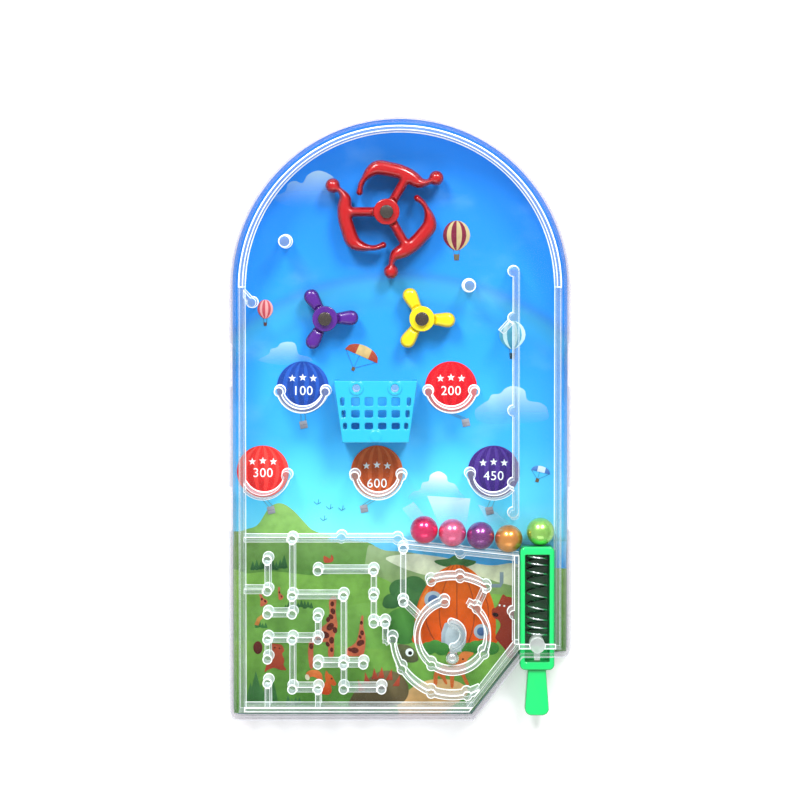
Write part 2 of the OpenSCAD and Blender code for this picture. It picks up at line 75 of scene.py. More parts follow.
# %% A socket that can be used in sums
class Value:
    def __init__(self, finish, socket):
        self.finish = finish
        self.socket = socket

    def maths(self, operation, *others, first=None):
        terms = [self] + list(others) if first is None else [first, self]
        node = self.finish.node("ShaderNodeMath", {"operation": operation}, dict(enumerate(terms)))
        return Value(self.finish, node.outputs[0])

    def __add__(self, other):
        return self.maths("ADD", other)

    def __radd__(self, other):
        return self.maths("ADD", other)

    def __sub__(self, other):
        return self.maths("SUBTRACT", other)

    def __rsub__(self, other):
        return self.maths("SUBTRACT", first=other)

    def __mul__(self, other):
        return self.maths("MULTIPLY", other)

    def __rmul__(self, other):
        return self.maths("MULTIPLY", other)

    def __truediv__(self, other):
        return self.maths("DIVIDE", other)

    def __pow__(self, other):
        return self.maths("POWER", other)

    def root(self):
        return self.maths("SQRT")

    def size(self):
        return self.maths("ABSOLUTE")

    def least(self, other):
        return self.maths("MINIMUM", other)

    def step(self, low, high):
        """0 below low, 1 above high and a smooth rise between them."""
        sockets = {"Value": self, "From Min": low, "From Max": high}
        smooth = {"interpolation_type": "SMOOTHSTEP"}
        node = self.finish.node("ShaderNodeMapRange", smooth, sockets)
        return Value(self.finish, node.outputs["Result"])


def linear(hex_colour, alpha=1.0):
    """A colour as painters write it, in the linear light that Blender works in."""
    parts = [int(hex_colour[i : i + 2], 16) / 255 for i in (1, 3, 5)]
    lit = [c / 12.92 if c <= 0.04045 else ((c + 0.055) / 1.055) ** 2.4 for c in parts]
    return (*lit, alpha)


class Finish:
    def __init__(self, name):
        self.material = bpy.data.materials.new(name)
        self.material.use_nodes = True
        self.tree = self.material.node_tree
        self.tree.nodes.clear()

    def node(self, kind, settings=None, sockets=None):
        node = self.tree.nodes.new(kind)
        for key, value in (settings or {}).items():
            if key == "stops":
                ramp = node.color_ramp
                while len(ramp.elements) < len(value):
                    ramp.elements.new(1.0)
                for element, (place, colour) in zip(ramp.elements, value):
                    element.position = place
                    element.color = colour
            else:
                setattr(node, key, value)
        for key, value in (sockets or {}).items():
            socket = node.inputs[key]
            if isinstance(value, Value):
                value = value.socket
            if isinstance(value, bpy.types.NodeSocket):
                self.tree.links.new(value, socket)
            else:
                socket.default_value = value
        return node

    def place(self):
        """Where a point is on the object, in millimetres: three values."""
        coords = self.node("ShaderNodeTexCoord").outputs["Object"]
        sockets = {0: coords, "Scale": 1 / MM}
        scaled = self.node("ShaderNodeVectorMath", {"operation": "SCALE"}, sockets)
        parts = self.node("ShaderNodeSeparateXYZ", None, {0: scaled.outputs[0]})
        self.mm = scaled.outputs[0]
        return [Value(self, parts.outputs[i]) for i in range(3)]

    def noise(self, scale, detail=3.0, stretch=(1, 1, 1)):
        """Soft cloudy noise from 0 to 1, with scale blobs to a millimetre."""
        if not hasattr(self, "mm"):
            self.place()
        vectors = {0: self.mm, 1: stretch}
        drawn = self.node("ShaderNodeVectorMath", {"operation": "MULTIPLY"}, vectors)
        sockets = {"Vector": drawn.outputs[0], "Scale": scale, "Detail": detail}
        return Value(self, self.node("ShaderNodeTexNoise", None, sockets).outputs["Fac"])

    def mix(self, amount, a, b, blend="MIX"):
        settings = {"data_type": "RGBA", "blend_type": blend}
        return self.node("ShaderNodeMix", settings, {0: amount, 6: a, 7: b}).outputs[2]

    def bump(self, height, strength, depth):
        sockets = {"Height": height, "Strength": strength, "Distance": depth * MM}
        return self.node("ShaderNodeBump", None, sockets).outputs["Normal"]

    def surface(self, **sockets):
        named = {key.replace("_", " "): value for key, value in sockets.items()}
        return self.node("ShaderNodeBsdfPrincipled", None, named).outputs[0]

    def done(self, shader):
        self.node("ShaderNodeOutputMaterial", None, {"Surface": shader})
        return self.material


# %% [markdown]
# ## Clear plastic
#
# Clear polystyrene is seen by its edges: light passes straight through a face that looks at
# the eye and is thrown back by one that lies along the view. A glass shader would do that by
# bending every ray, which hides the lamps and leaves grain. Here a see-through shader is
# mixed with a pale glossy one, and the share of gloss grows as the face turns away. Light
# trapped in the plastic leaves it at its round edges; here that light is painted, so those
# edges get a finish of their own in near-opaque white with a painted glow, and some clear
# finishes carry a faint painted glow too.


# %% Clear plastic
def clear_plastic(name, tint, face, edge, power=2.2, painted_glow=0.0, body="#f6fbfd"):
    finish = Finish(name)
    turned = finish.node("ShaderNodeLayerWeight", None, {"Blend": 0.5}).outputs["Facing"]
    smudge = finish.noise(0.25, 2.0)
    share = face * (0.6 + smudge * 0.8) + (edge - face) * Value(finish, turned) ** power
    through = finish.node("ShaderNodeBsdfTransparent", None, {"Color": linear(tint)}).outputs[0]
    # the glossy share carries a painted glow: emission standing in for light let out by the
    # plastic
    gloss = finish.surface(
        Base_Color=linear(body),
        Roughness=smudge * 0.06 + 0.12,
        IOR=1.59,
        Emission_Color=linear(body),
        Emission_Strength=painted_glow,
    )
    mixed = finish.node("ShaderNodeMixShader", None, {0: share.least(1.0), 1: through, 2: gloss})
    return finish.done(mixed.outputs[0])


# the sixth value of each finish is its painted glow
CLEAR = {
    "cover": clear_plastic("clear_cover", "#feffff", 0.002, 0.2, 3.0),
    "tray": clear_plastic("clear_tray", "#feffff", 0.002, 0.2, 3.0),
    "band": clear_plastic("clear_band", "#fbf8fa", 0.02, 0.24, 1.6, 0.0, "#f0eaef"),
    "wall": clear_plastic("clear_wall", "#f1f5f5", 0.09, 0.5, 1.6, 0.05),
    "post": clear_plastic("clear_post", "#e9eeee", 0.1, 0.85, 1.4, 0.15),
    "stop": clear_plastic("clear_stop", "#e8ecec", 0.28, 0.8, 1.1, 0.15, "#ffffff"),
    "back": clear_plastic("clear_back", "#faf8f9", 0.16, 0.4, 1.5, 0.0, "#f4eef1"),
}
# painted highlight: round edges drawn in near-opaque white that glows, as bright lines
PAINTED_RIM = {
    "line": clear_plastic("clear_painted_light_line", "#ffffff", 0.85, 0.95, 1.0, 0.3, "#ffffff"),
    "faint": clear_plastic("clear_faint_painted_light_line", "#f7f8fa", 0.14, 0.25, 1.0, 0.05, "#f2f2f8"),
}
print("clear finishes:", len(CLEAR) + len(PAINTED_RIM))

# %% [markdown]
# ## Coloured plastic, steel and pearl
#
# The moving parts are injection moulded, so their colour goes all the way through and the
# skin is shiny with a faint orange peel. Steel pins are turned, which leaves fine rings.


# %% Coloured plastic
def pocket_shade_amount(finish, centre, half, floor_z, top_z):
    """Painted shade in a deep pocket: 1 at its floor, falling to 0 at its top and outside of it.
    """
    x, y, z = finish.place()
    across = 1.0 - (x - centre[0]).size().step(half[0], half[0] + 0.1)
    along = 1.0 - (y - centre[1]).size().step(half[1], half[1] + 0.1)
    return across * along * (1.0 - z.step(floor_z, top_z))


def gloss_plastic(name, colour, deep, rough=0.22, pocket_shade=None):
    finish = Finish(name)
    flow = finish.noise(0.12, 3.0)
    peel = finish.noise(1.6, 2.0)
    turned = finish.node("ShaderNodeLayerWeight", None, {"Blend": 0.5}).outputs["Facing"]
    # painted shade: faces turned from the eye take the deep colour, mixed with a little random
    # tone
    painted_side_shade = Value(finish, turned).step(0.04, 0.42)
    shade = finish.mix((painted_side_shade * 0.65 + flow * 0.12).least(1.0), linear(colour), linear(deep))
    # painted shade: the floor of a deep pocket darkens to the given colour
    if pocket_shade:
        shade = finish.mix(pocket_shade_amount(finish, *pocket_shade[:4]), shade, linear(pocket_shade[4]))
    shader = finish.surface(
        Base_Color=shade,
        Roughness=peel * 0.08 + rough,
        IOR=1.5,
        Coat_Weight=0.25,
        Coat_Roughness=0.05,
        Normal=finish.bump(peel, 0.12, 0.03),
    )
    return finish.done(shader)


# %% Steel
def steel(name, colour, rough, centre=(0, 0), ring_pitch=0.0, shaded=None):
    finish = Finish(name)
    x, y, z = finish.place()
    grain = finish.noise(3.0, 4.0)
    shade = finish.mix(grain * 0.2, linear(colour), linear("#4a4846"))
    # painted shade: darker below a given height
    if shaded:
        shade = finish.mix(z.step(shaded[0], shaded[1]), linear(shaded[2]), shade)
    roughness = grain * 0.12 + rough
    normal = finish.bump(grain, 0.1, 0.01)
    if ring_pitch:
        away = ((x - centre[0]) ** 2.0 + (y - centre[1]) ** 2.0).root()
        rings = (away * (2 * math.pi / ring_pitch)).maths("SINE")
        normal = finish.bump(rings + grain, 0.35, 0.02)
    shader = finish.surface(Base_Color=shade, Metallic=1.0, Roughness=roughness, Normal=normal)
    return finish.done(shader)


# %% [markdown]
# ## Pearl
#
# An imitation pearl is a plastic bead dipped in lacquer with flakes of mica. The flakes lie
# flat and act like soft metal, and the lacquer over them adds small sharp highlights.


# %% Pearl lacquer
def pearl(name, colour, deep):
    finish = Finish(name)
    flakes = finish.noise(9.0, 2.0)
    dipped = finish.noise(0.22, 3.0)
    shade = finish.mix(dipped.step(0.35, 0.65), linear(deep), linear(colour))
    sparkle = finish.mix(flakes.step(0.55, 0.8) * 0.25, shade, linear("#fff6f8"))
    shader = finish.surface(
        Base_Color=sparkle,
        Metallic=0.7,
        Roughness=flakes * 0.08 + 0.24,
        Coat_Weight=1.0,
        Coat_Roughness=0.1,
        Normal=finish.bump(flakes, 0.05, 0.01),
    )
    return finish.done(shader)


# %% [markdown]
# ## Moulded copies of the frame's pieces
#
# The frame's solids have razor-sharp edges. A moulded part never does: the tool has draft,
# so a wall is thicker at its root, and every edge is slightly round. A copy of each solid
# is welded, its flat faces are joined again, its foot is spread and its edges are bevelled.
# The bevels and the foot ring take the rim finish, a painted highlight of glowing white,
# which draws a wall's white lines.
# A bevel goes no further than the shortest edge lets it, so a thick piece with short edges is
# built again from fine cells and smoothed instead. The tops of its flat arms are then lowered
# towards their outline, which makes the arms half round.


# %% Moulded copies
FOOT_HEIGHT = 0.3


def placed_object(name, data):
    piece = bpy.data.objects.new(name, data)
    bpy.context.scene.collection.objects.link(piece)
    return piece


def object_from(bm, name, material):
    mesh = bpy.data.meshes.new(name)
    bm.to_mesh(mesh)
    bm.free()
    mesh.materials.append(material)
    return placed_object(name, mesh)


def mesh_of(piece, name, material):
    """The piece's final mesh under a name of its own; the piece itself is taken away."""
    graph = bpy.context.evaluated_depsgraph_get()
    mesh = bpy.data.meshes.new_from_object(piece.evaluated_get(graph))
    bpy.data.objects.remove(piece)
    mesh.name = name
    mesh.materials.clear()
    mesh.materials.append(material)
    return mesh


def smooth_by_angle(piece, degrees=35):
    for face in piece.data.polygons:
        face.use_smooth = True
    sharp = piece.modifiers.new("sharp edges", "EDGE_SPLIT")
    sharp.split_angle = math.radians(degrees)


def copied(node):
    """The frame's solid with its facets joined into flat faces again."""
    bm = bmesh.new()
    bm.from_mesh(frame["nodes"][node].data)
    bmesh.ops.remove_doubles(bm, verts=bm.verts, dist=2e-6)
    bmesh.ops.dissolve_limit(bm, angle_limit=math.radians(1.0), verts=bm.verts, edges=bm.edges)
    return bm


def settled(piece, node):
    """Lets a piece ride on its node's body and stand in for the node."""
    bodies = frame["record"]["behaviour"]["bodies"]
    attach(piece, next(body for body, nodes in bodies.items() if node in nodes))
    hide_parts(node)
    parts = frame["record"]["subparts"]
    next(part["material_slot"] for part in parts if part["node"] == node)
    return piece


def foot_ring(bm, height, spread):
    """Cuts a low ring round the foot of a wall and spreads it over the tray."""
    low = min(v.co.z for v in bm.verts)
    everything = bm.verts[:] + bm.edges[:] + bm.faces[:]
    cut = Vector((0, 0, low + height * MM))
    bmesh.ops.bisect_plane(bm, geom=everything, plane_co=cut, plane_no=(0, 0, 1), dist=1e-7)
    bm.normal_update()
    moves = {}
    for v in bm.verts:
        if v.co.z < low + 1e-5:
            sides = [f.normal for f in v.link_faces if abs(f.normal.z) < 0.5]
            out = sum(sides, Vector())
            if out.length > 1e-3:
                moves[v] = out.normalized() * spread * MM
    for v, move in moves.items():
        v.co += move
    # the foot ring takes the second finish, the painted highlight of a wall's lower white line
    ring = [f for f in bm.faces if f.calc_center_median().z < cut.z and abs(f.normal.z) < 0.9]
    for f in ring:
        f.material_index = 1
    return low


def moulded(node, material, edge=0.2, foot=0.0, segments=2, rim=None):
    """A copy of a node with round edges, and with a painted bright rim where one is asked for."""
    bm = copied(node)
    low = foot_ring(bm, FOOT_HEIGHT, foot) if foot else None
    bm.normal_update()
    corner = math.radians(50)
    sharp = [e for e in bm.edges if e.is_manifold and e.calc_face_angle(0) > corner]
    if foot:
        sharp = [e for e in sharp if all(v.co.z > low + MM for v in e.verts)]
    shape = {"segments": segments, "profile": 0.5, "affect": "EDGES", "clamp_overlap": True}
    made = bmesh.ops.bevel(bm, geom=sharp, offset=edge * MM, **shape)
    # the bevel faces take the rim finish, a painted highlight
    if rim:
        for face in made["faces"]:
            face.material_index = 1
    piece = object_from(bm, node + "_moulded", material)
    if rim or foot:
        piece.data.materials.append(rim or PAINTED_RIM["line"])
    smooth_by_angle(piece)
    settled(piece, node)


def rounded(node, material, grain, passes):
    """A copy of a node made of fine cells and smoothed, as a thick moulding looks."""
    piece = object_from(copied(node), node + "_cells", material)
    cells = piece.modifiers.new("cells", "REMESH")
    cells.mode = "VOXEL"
    cells.voxel_size = grain * MM
    soft = piece.modifiers.new("soft", "SMOOTH")
    soft.factor = 0.5
    soft.iterations = passes
    mesh = mesh_of(piece, node + "_rounded", material)
    mesh.shade_smooth()
    return settled(placed_object(node + "_rounded", mesh), node)


def domed(piece, reach, hub, share=0.8):
    """Lowers the top of a rounded piece towards its outline, so that its arms are half round."""
    mesh = piece.data
    outline = [v.co for v in mesh.vertices if abs(v.normal.z) < 0.35]
    tree = KDTree(len(outline))
    for index, co in enumerate(outline):
        tree.insert((co.x, co.y, 0.0), index)
    tree.balance()
    low = min(v.co.z for v in mesh.vertices)
    centre = hub[0] * MM
    for v in mesh.vertices:
        if math.hypot(v.co.x - centre.x, v.co.y - centre.y) > hub[1] * MM:
            away = tree.find((v.co.x, v.co.y, 0.0))[2] / (reach * MM)
            arch = math.sqrt(1.0 - (1.0 - min(away, 1.0)) ** 2)
            v.co.z = low + (v.co.z - low) * (1.0 - share * 0.5 * (1.0 - arch))


def middle(node):
    low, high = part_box(node)
    return (Vector(low) + Vector(high)) / (2 * MM)


# %% [markdown]
# ## The clear case
#
# The back cover, the tray's floor and the front cover are plain plates, so they keep a small
# edge. The walls of the field get the draft; its foot ring and their top bevels carry the
# painted highlight of the rim finish, which draws their double white lines.

# %% Clear case
for node, kind, edge, rim in (
    ("back_cover", "back", 0.3, PAINTED_RIM["faint"]),
    ("side_band", "band", 0.15, PAINTED_RIM["faint"]),
    ("front_cover", "cover", 0.4, PAINTED_RIM["faint"]),
    ("snap_clips", "band", 0.2, PAINTED_RIM["line"]),
    ("lane_bridge", "wall", 0.25, PAINTED_RIM["line"]),
    ("spring_stop", "stop", 0.5, PAINTED_RIM["line"]),
):
    moulded(node, CLEAR[kind], edge, rim=rim)

WALLS = """arch_wall left_wall right_wall bottom_wall corner_wall lane_wall channel_wall shelf
maze_walls ring_wall upper_arc lower_arc hook_wall cup_100 cup_200 cup_300 cup_600 cup_450
deflectors""".split()
for node in WALLS:
    moulded(node, CLEAR["wall"], 0.34, foot=0.3, rim=PAINTED_RIM["line"])
for node in ("maze_posts", "guide_pins"):
    moulded(node, CLEAR["post"], 0.34, foot=0.25, rim=PAINTED_RIM["line"])
print("clear walls:", len(WALLS))

# %% [markdown]
# ## Tray floor and card
#
# The tray's floor lies on the card. The card keeps its outline from the frame, but is drawn
# a little thinner, so that the ink shapes printed on it lie between it and the tray.

# %% Tray floor and card
card_low, card_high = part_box("picture_card")
CARD_THINNED = 0.3
CARD_TOP = card_high[2] / MM - CARD_THINNED
INK_GAP = 0.004
INK_STEP = 0.0009
INK_SHINE = 0.12
BOW_LOW, BOW_RADIUS, BOW_WIDTH = -37.0, 67.0, 15.0
SKY_MIDDLE, SKY_HALF = 20.0, (47.0, 70.0)
moulded("play_tray", CLEAR["tray"], 0.1)


def printed_surface(finish, colour):
    """Ink on matt card, with the card's fibres just felt."""
    fibre = finish.noise(2.2, 3.0)
    return finish.surface(
        Base_Color=colour,
        Roughness=fibre * 0.1 + 0.5,
        Specular_IOR_Level=INK_SHINE,
        Normal=finish.bump(fibre, 0.06, 0.01),
    )


def sky_finish():
    finish = Finish("printed_sky")
    x, y, z = finish.place()
    low, high = card_low[1] / MM, card_high[1] / MM
    height = (y - low) / (high - low)
    stops = [
        (0.0, linear("#4f7f3a")),
        (0.28, linear("#5f8f45")),
        (0.30, linear("#83ecff")),
        (0.36, linear("#62d8fd")),
        (0.46, linear("#3fb4f6")),
        (0.60, linear("#2a9cf2")),
        (0.80, linear("#1f86e6")),
        (1.0, linear("#1b7ade")),
    ]
    colour = finish.node("ShaderNodeValToRGB", {"stops": stops}, {0: height}).outputs[0]
    # a faint rainbow, a wide ring around a point far below the middle
    away = (x ** 2.0 + (y - BOW_LOW) ** 2.0).root()
    across = (away - BOW_RADIUS) / BOW_WIDTH
    bow = [
        (0.0, linear("#3f9fe0")),
        (0.25, linear("#3590d0")),
        (0.45, linear("#3fa5b8")),
        (0.65, linear("#4a9f94")),
        (0.82, linear("#3f6fa8")),
        (1.0, linear("#2a6fc8")),
    ]
    bow_colour = finish.node("ShaderNodeValToRGB", {"stops": bow}, {0: across}).outputs[0]
    inside = across.step(0.0, 0.3) * (1.0 - across.step(0.75, 1.0))
    colour = finish.mix(inside * 0.42, colour, bow_colour)
    # cloudy patches of paler ink
    cloudy = finish.noise(0.055, 4.0, (1, 1.6, 1))
    colour = finish.mix(cloudy.step(0.5, 0.85) * 0.16, colour, linear("#a9dcfb"))
    # deeper blue towards the edge of the sky
    away = ((x / SKY_HALF[0]) ** 2.0 + ((y - SKY_MIDDLE) / SKY_HALF[1]) ** 2.0).root()
    edge = away.step(0.75, 1.25)
    colour = finish.mix(edge * 0.22, colour, linear("#155fbf"))
    return finish.done(printed_surface(finish, colour))


def ink_finish():
    """Ink whose colour is stored with the shape, a little uneven as print is."""
    finish = Finish("printed_ink")
    ink = finish.node("ShaderNodeAttribute", {"attribute_name": "ink"}).outputs["Color"]
    cloudy = finish.noise(0.5, 3.0)
    shade = finish.mix(cloudy.step(0.35, 0.75) * 0.16, ink, linear("#274022"), "MULTIPLY")
    return finish.done(printed_surface(finish, shade))


def light_ink_finish():
    """Thin pale ink that lets the sky show, for clouds and beams of light."""
    finish = Finish("printed_light")
    ink = finish.node("ShaderNodeAttribute", {"attribute_name": "ink"})
    colour = ink.outputs["Color"]
    pale = finish.surface(Base_Color=colour, Roughness=0.5, Specular_IOR_Level=INK_SHINE)
    through = finish.node("ShaderNodeBsdfTransparent").outputs[0]
    sockets = {0: ink.outputs["Alpha"], 1: through, 2: pale}
    return finish.done(finish.node("ShaderNodeMixShader", None, sockets).outputs[0])


def thin_card():
    bm = copied("picture_card")
    middle_z = (card_low[2] + card_high[2]) / 2
    for v in bm.verts:
        if v.co.z > middle_z:
            v.co.z = CARD_TOP * MM
    settled(object_from(bm, "picture_card_sky", sky_finish()), "picture_card")


thin_card()
INK = ink_finish()
LIGHT_INK = light_ink_finish()
print("card top at", round(CARD_TOP, 3), "mm")

# %% [markdown]
# ## A printing press for flat shapes
#
# The picture is made of flat shapes, printed one over another. A shape is an outline in
# millimetres with one ink at its lowest point and another at its highest, so each one shades
# like a brush stroke. A later shape lies a hair higher than an earlier one.


# %% Printing press
def curve_through(points, closed=True, steps=5):
    """A smooth line through a few points."""
    count = len(points)
    result = []
    for i in range(count if closed else count - 1):
        if closed:
            four = [points[(i + k - 1) % count] for k in range(4)]
        else:
            four = [points[min(max(i + k - 1, 0), count - 1)] for k in range(4)]
        for s in range(steps):
            t = s / steps
            weights = (
                (-t + 2 * t * t - t**3) / 2,
                (2 - 5 * t * t + 3 * t**3) / 2,
                (t + 4 * t * t - 3 * t**3) / 2,
                (-t * t + t**3) / 2,
            )
            point = (sum(w * p[axis] for w, p in zip(weights, four)) for axis in (0, 1))
            result.append(tuple(point))
    if not closed:
        result.append(points[-1])
    return result


def oval(centre, rx, ry=None, turn=0.0, count=28):
    ry = rx if ry is None else ry
    c, s = math.cos(math.radians(turn)), math.sin(math.radians(turn))
    ring = []
    for i in range(count):
        a = 2 * math.pi * i / count
        x, y = rx * math.cos(a), ry * math.sin(a)
        ring.append((centre[0] + c * x - s * y, centre[1] + s * x + c * y))
    return ring


def stroke(points, width, end_width=None):
    """A line with a width, drawn as an outline."""
    end_width = width if end_width is None else end_width
    left, right = [], []
    for i, p in enumerate(points):
        a, b = points[max(i - 1, 0)], points[min(i + 1, len(points) - 1)]
        d = Vector((b[0] - a[0], b[1] - a[1])).normalized()
        half = (width + (end_width - width) * i / (len(points) - 1)) / 2
        left.append((p[0] - d.y * half, p[1] + d.x * half))
        right.append((p[0] + d.y * half, p[1] - d.x * half))
    return left + right[::-1]


LEFT, RIGHT, LOW = card_low[0] / MM + 0.1, card_high[0] / MM - 0.1, card_low[1] / MM + 0.2
LANE_LOW, LANE_LEFT = -69.1, 33.6
SLANT = (21.5, -86.6, 0.762)


def on_card(x, y):
    """The nearest point that is still on the card, slanted corner included."""
    x = min(max(x, LEFT), RIGHT)
    y = max(y, LANE_LOW if x > LANE_LEFT else LOW)
    if y < LANE_LOW:
        x = min(x, SLANT[0] + (y - SLANT[1]) * SLANT[2])
    return x, y


class Press:
    printed = 0

    def __init__(self, name, material=INK):
        self.name = name
        self.material = material
        self.bm = bmesh.new()
        self.ink = self.bm.loops.layers.float_color.new("ink")

    def print(self, outlines, low, high=None, low_alpha=1.0, high_alpha=1.0):
        """Prints one outline, or several with the same inks."""
        outlines = outlines if isinstance(outlines[0][0], (tuple, list)) else [outlines]
        a, b = linear(low, low_alpha), linear(high or low, high_alpha)
        for outline in outlines:
            Press.printed += 1
            z = CARD_TOP + INK_GAP + Press.printed * INK_STEP
            outline = [on_card(x, y) for x, y in outline]
            ys = [p[1] for p in outline]
            bottom, tall = min(ys), max(max(ys) - min(ys), 1e-6)
            verts = [self.bm.verts.new((x * MM, y * MM, z * MM)) for x, y in outline]
            face = self.bm.faces.new(verts)
            face.normal_update()
            if face.normal.z < 0:
                face.normal_flip()
            for loop in face.loops:
                t = (loop.vert.co.y / MM - bottom) / tall
                loop[self.ink] = [p + (q - p) * t for p, q in zip(a, b)]

    def curved(self, points, *inks):
        """Prints the round shape whose outline goes through a few points."""
        self.print(curve_through(points), *inks)

    def finish(self):
        bmesh.ops.triangulate(self.bm, faces=self.bm.faces, ngon_method="EAR_CLIP")
        piece = object_from(self.bm, self.name, self.material)
        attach(piece, "case")


# %% [markdown]
# ## Clouds and beams of light
#
# Clouds are round lumps on a flat foot, bright on top and fading out downwards.

# %% Clouds
clouds = Press("printed_clouds", LIGHT_INK)
clouds.curved(
    [(-37.2, 64.6), (-33.8, 66.4), (-32.8, 68.8), (-30.8, 69.6), (-28.6, 69), (-27, 71.4),
     (-24, 72.6), (-20.8, 71.6), (-19.2, 69.6), (-19.2, 63.6), (-20.6, 61.6), (-30.8, 61.6)],
    "#5aaef5", "#bfe2fb", 0.0, 0.75,
)
clouds.curved(
    [(-41.4, 16.8), (-38.6, 18.8), (-38, 20.2), (-36.2, 20.8), (-35, 22), (-32.8, 22.4),
     (-30.8, 21.8), (-29.8, 18.8), (-27, 18), (-26, 16.6), (-32.8, 15.4)],
    "#7cc4f8", "#bfe3fb", 0.1, 0.7,
)
clouds.curved(
    [(22, 1.8), (24.4, 4.2), (26, 5.2), (27, 6.8), (29.4, 7.2), (31.2, 8.8), (33.6, 9.4),
     (36.6, 8.2), (37.6, 5.2), (41.4, 4.4), (43.4, 2.4), (42, -1), (25, -1.6)],
    "#7ccdf9", "#d3f0fd", 0.1, 0.85,
)
for beam, light in (
    ([(8, -23), (20.8, -23.8), (19.4, -33), (11.6, -32)], 0.6),
    ([(0.6, -26.8), (4, -24.8), (8.4, -30.2), (5.8, -33.2)], 0.3),
    ([(23, -25.6), (27, -26.8), (34.6, -33), (27, -33)], 0.3),
):
    clouds.print(beam, "#c9f1fd", "#ffffff", 0.05, light)
clouds.curved(
    [(2.8, -24), (3.6, -22), (5.8, -21.2), (6.6, -19.2), (8.4, -18.6), (9, -16.8), (11.4, -15.8),
     (13.6, -17), (14.2, -18.8), (16.2, -19.6), (17.6, -21.8), (19, -24), (10.8, -25)],
    "#7fd4fa", "#ffffff", 0.0, 0.95,
)
clouds.finish()

# %% [markdown]
# ## Hills, water and meadow
#
# The ground is built from back to front: water, the far hill, the pale path behind the
# cottage, then three rolling meadows, each darker than the one behind it.

# %% Hills and meadow
ground = Press("printed_ground")
water = [(LEFT, -34.0), (-26, -33.5), (-5.5, -34.5), (15, -35.5)]
water += [(RIGHT, -36.5), (RIGHT, -45.0), (LEFT, -45.0)]
ground.print(water, "#3aa0ee", "#8be4fd")
ground.curved(
    [(-49, -34.6), (-45.6, -33), (-42, -31.6), (-38.6, -26.6), (-35.2, -25.2), (-31.4, -27.4),
     (-26, -33), (-21.2, -35.6), (-49, -38.4)], "#83b257", "#97c06a"
)
ground.print(
    [(LEFT, -33.5), *curve_through([(-44.4, -33.6), (-30.8, -34.8), (-17.8, -36), (-9.6, -36.8),
        (-6.2, -39), (-2.8, -42.8), (1.2, -46.6)], False), (LEFT, -48.0)], "#5f8f3d", "#86a95f"
)
ground.curved(
    [(-9.6, -38.4), (-4.2, -39.2), (3.2, -39.8), (12.2, -41.8), (21.6, -44.4), (35, -49.2),
     (35, -53.4), (-5.6, -53.4)], "#7fa053", "#a9b98b"
)
ground.curved(
    [(-4.2, -41.8), (2.6, -40.2), (10, -40.8), (19, -42.4), (27, -43.6), (34.6, -43.2),
     (34.6, -49.2), (29.8, -48.8), (21.6, -46.6), (8, -46.6)], "#dfe0b8", "#f2f0d4"
)
lane_meadow = [(34.0, -44.0), (RIGHT, -44.5), (RIGHT, LANE_LOW), (34.0, LANE_LOW)]
ground.print(lane_meadow, "#5d9440", "#7fae57")
tail = [(34.0, LANE_LOW), (33.0, -71.5), (21.5, -86.6), (LEFT, LOW)]
ground.print(
    [(LEFT, -44.5), *curve_through([(-45, -46), (-36.8, -45.4), (-24.6, -46.6), (-15, -45.4),
        (-5.6, -47.2), (2.6, -51.2), (14.8, -51.2), (34.6, -52.6)], False), *tail],
    "#5f9a3c", "#8bb954",
)
ground.print(
    [(LEFT, -55.5), *curve_through([(-45.6, -56), (-32.8, -54.6), (-21.2, -56.4), (-9.6, -54.6),
        (-4.2, -56), (8, -60.2), (34.6, -62.8)], False), *tail], "#5a943a", "#86b656"
)
ground.print(
    [(LEFT, -66.0), *curve_through([(-45.6, -65.6), (-36.2, -68), (-24.6, -67), (-9.6, -68.2),
        (5.4, -69), (21.6, -68.2), (34.6, -69.6)], False), *tail], "#4f8a34", "#84b24f"
)
ground.curved(
    [(0.6, -82.6), (4.6, -79.2), (10, -77.4), (16.8, -78), (20.2, -81.2), (15.6, -85.2),
     (10, -88.4), (1.2, -88.6), (-0.8, -85.2)], "#cf9a5e", "#e2b47c"
)
ground.curved(
    [(-15, -85.2), (-13, -80.6), (-9.6, -77.4), (-5.6, -75), (-0.8, -75.4), (2.2, -78.8),
     (2.2, -82.6), (-0.8, -85), (-9, -86.4)], "#57492f", "#7b6a48"
)
ground.finish()

# %% [markdown]
# ## Firs, bushes and trees
#
# A fir is a tall leaf shape on a short stem. Groups of firs only differ in height, so a
# seeded random number sets each one.


# %% Trees
def fir(foot, height, width):
    x, y = foot
    edge = [(0.0, 1.0), (0.25, 0.6), (0.42, 0.28), (0.5, 0.08), (0.12, 0.0)]
    right = [(x + a * width, y + b * height) for a, b in edge]
    left = [(x - a * width, y + b * height) for a, b in edge[1:]]
    return right + left[::-1]


trees = Press("printed_trees")
dice = random.Random(4)
for foot, spread, count, tall, ink in (
    ((-38.8, -44.8), 6.5, 9, 4.6, "#2f5b35"),
    ((-28.6, -56.2), 3.6, 6, 2.6, "#3c6a37"),
    ((-32.8, -56.4), 1.8, 3, 2.0, "#3c6a37"),
    ((-41, -62.2), 2.2, 4, 2.2, "#3f7a3c"),
    ((-41, -84.6), 5.0, 5, 11.0, "#3b7238"),
    ((-31.4, -85), 2.8, 4, 3.2, "#2f6233"),
    ((-2.2, -66.2), 1.6, 3, 4.6, "#35653a"),
):
    group = []
    for i in range(count):
        place = foot[0] + spread * ((i + 0.5) / count - 0.5) * 1.6
        tall_one = tall * dice.uniform(0.5, 1.0)
        low = foot[1] + dice.uniform(-0.3, 0.3)
        group.append(fir((place, low), tall_one, tall_one * 0.36 + 0.5))
    trees.print(group, ink, "#4d7f49")
dark_trunk = [(1.6, -62.2), (2.8, -54.6), (2.4, -52), (3.6, -51.8), (3.8, -54.6), (4.6, -62.2)]
trees.print(dark_trunk, "#4a2a20", "#6e4030")
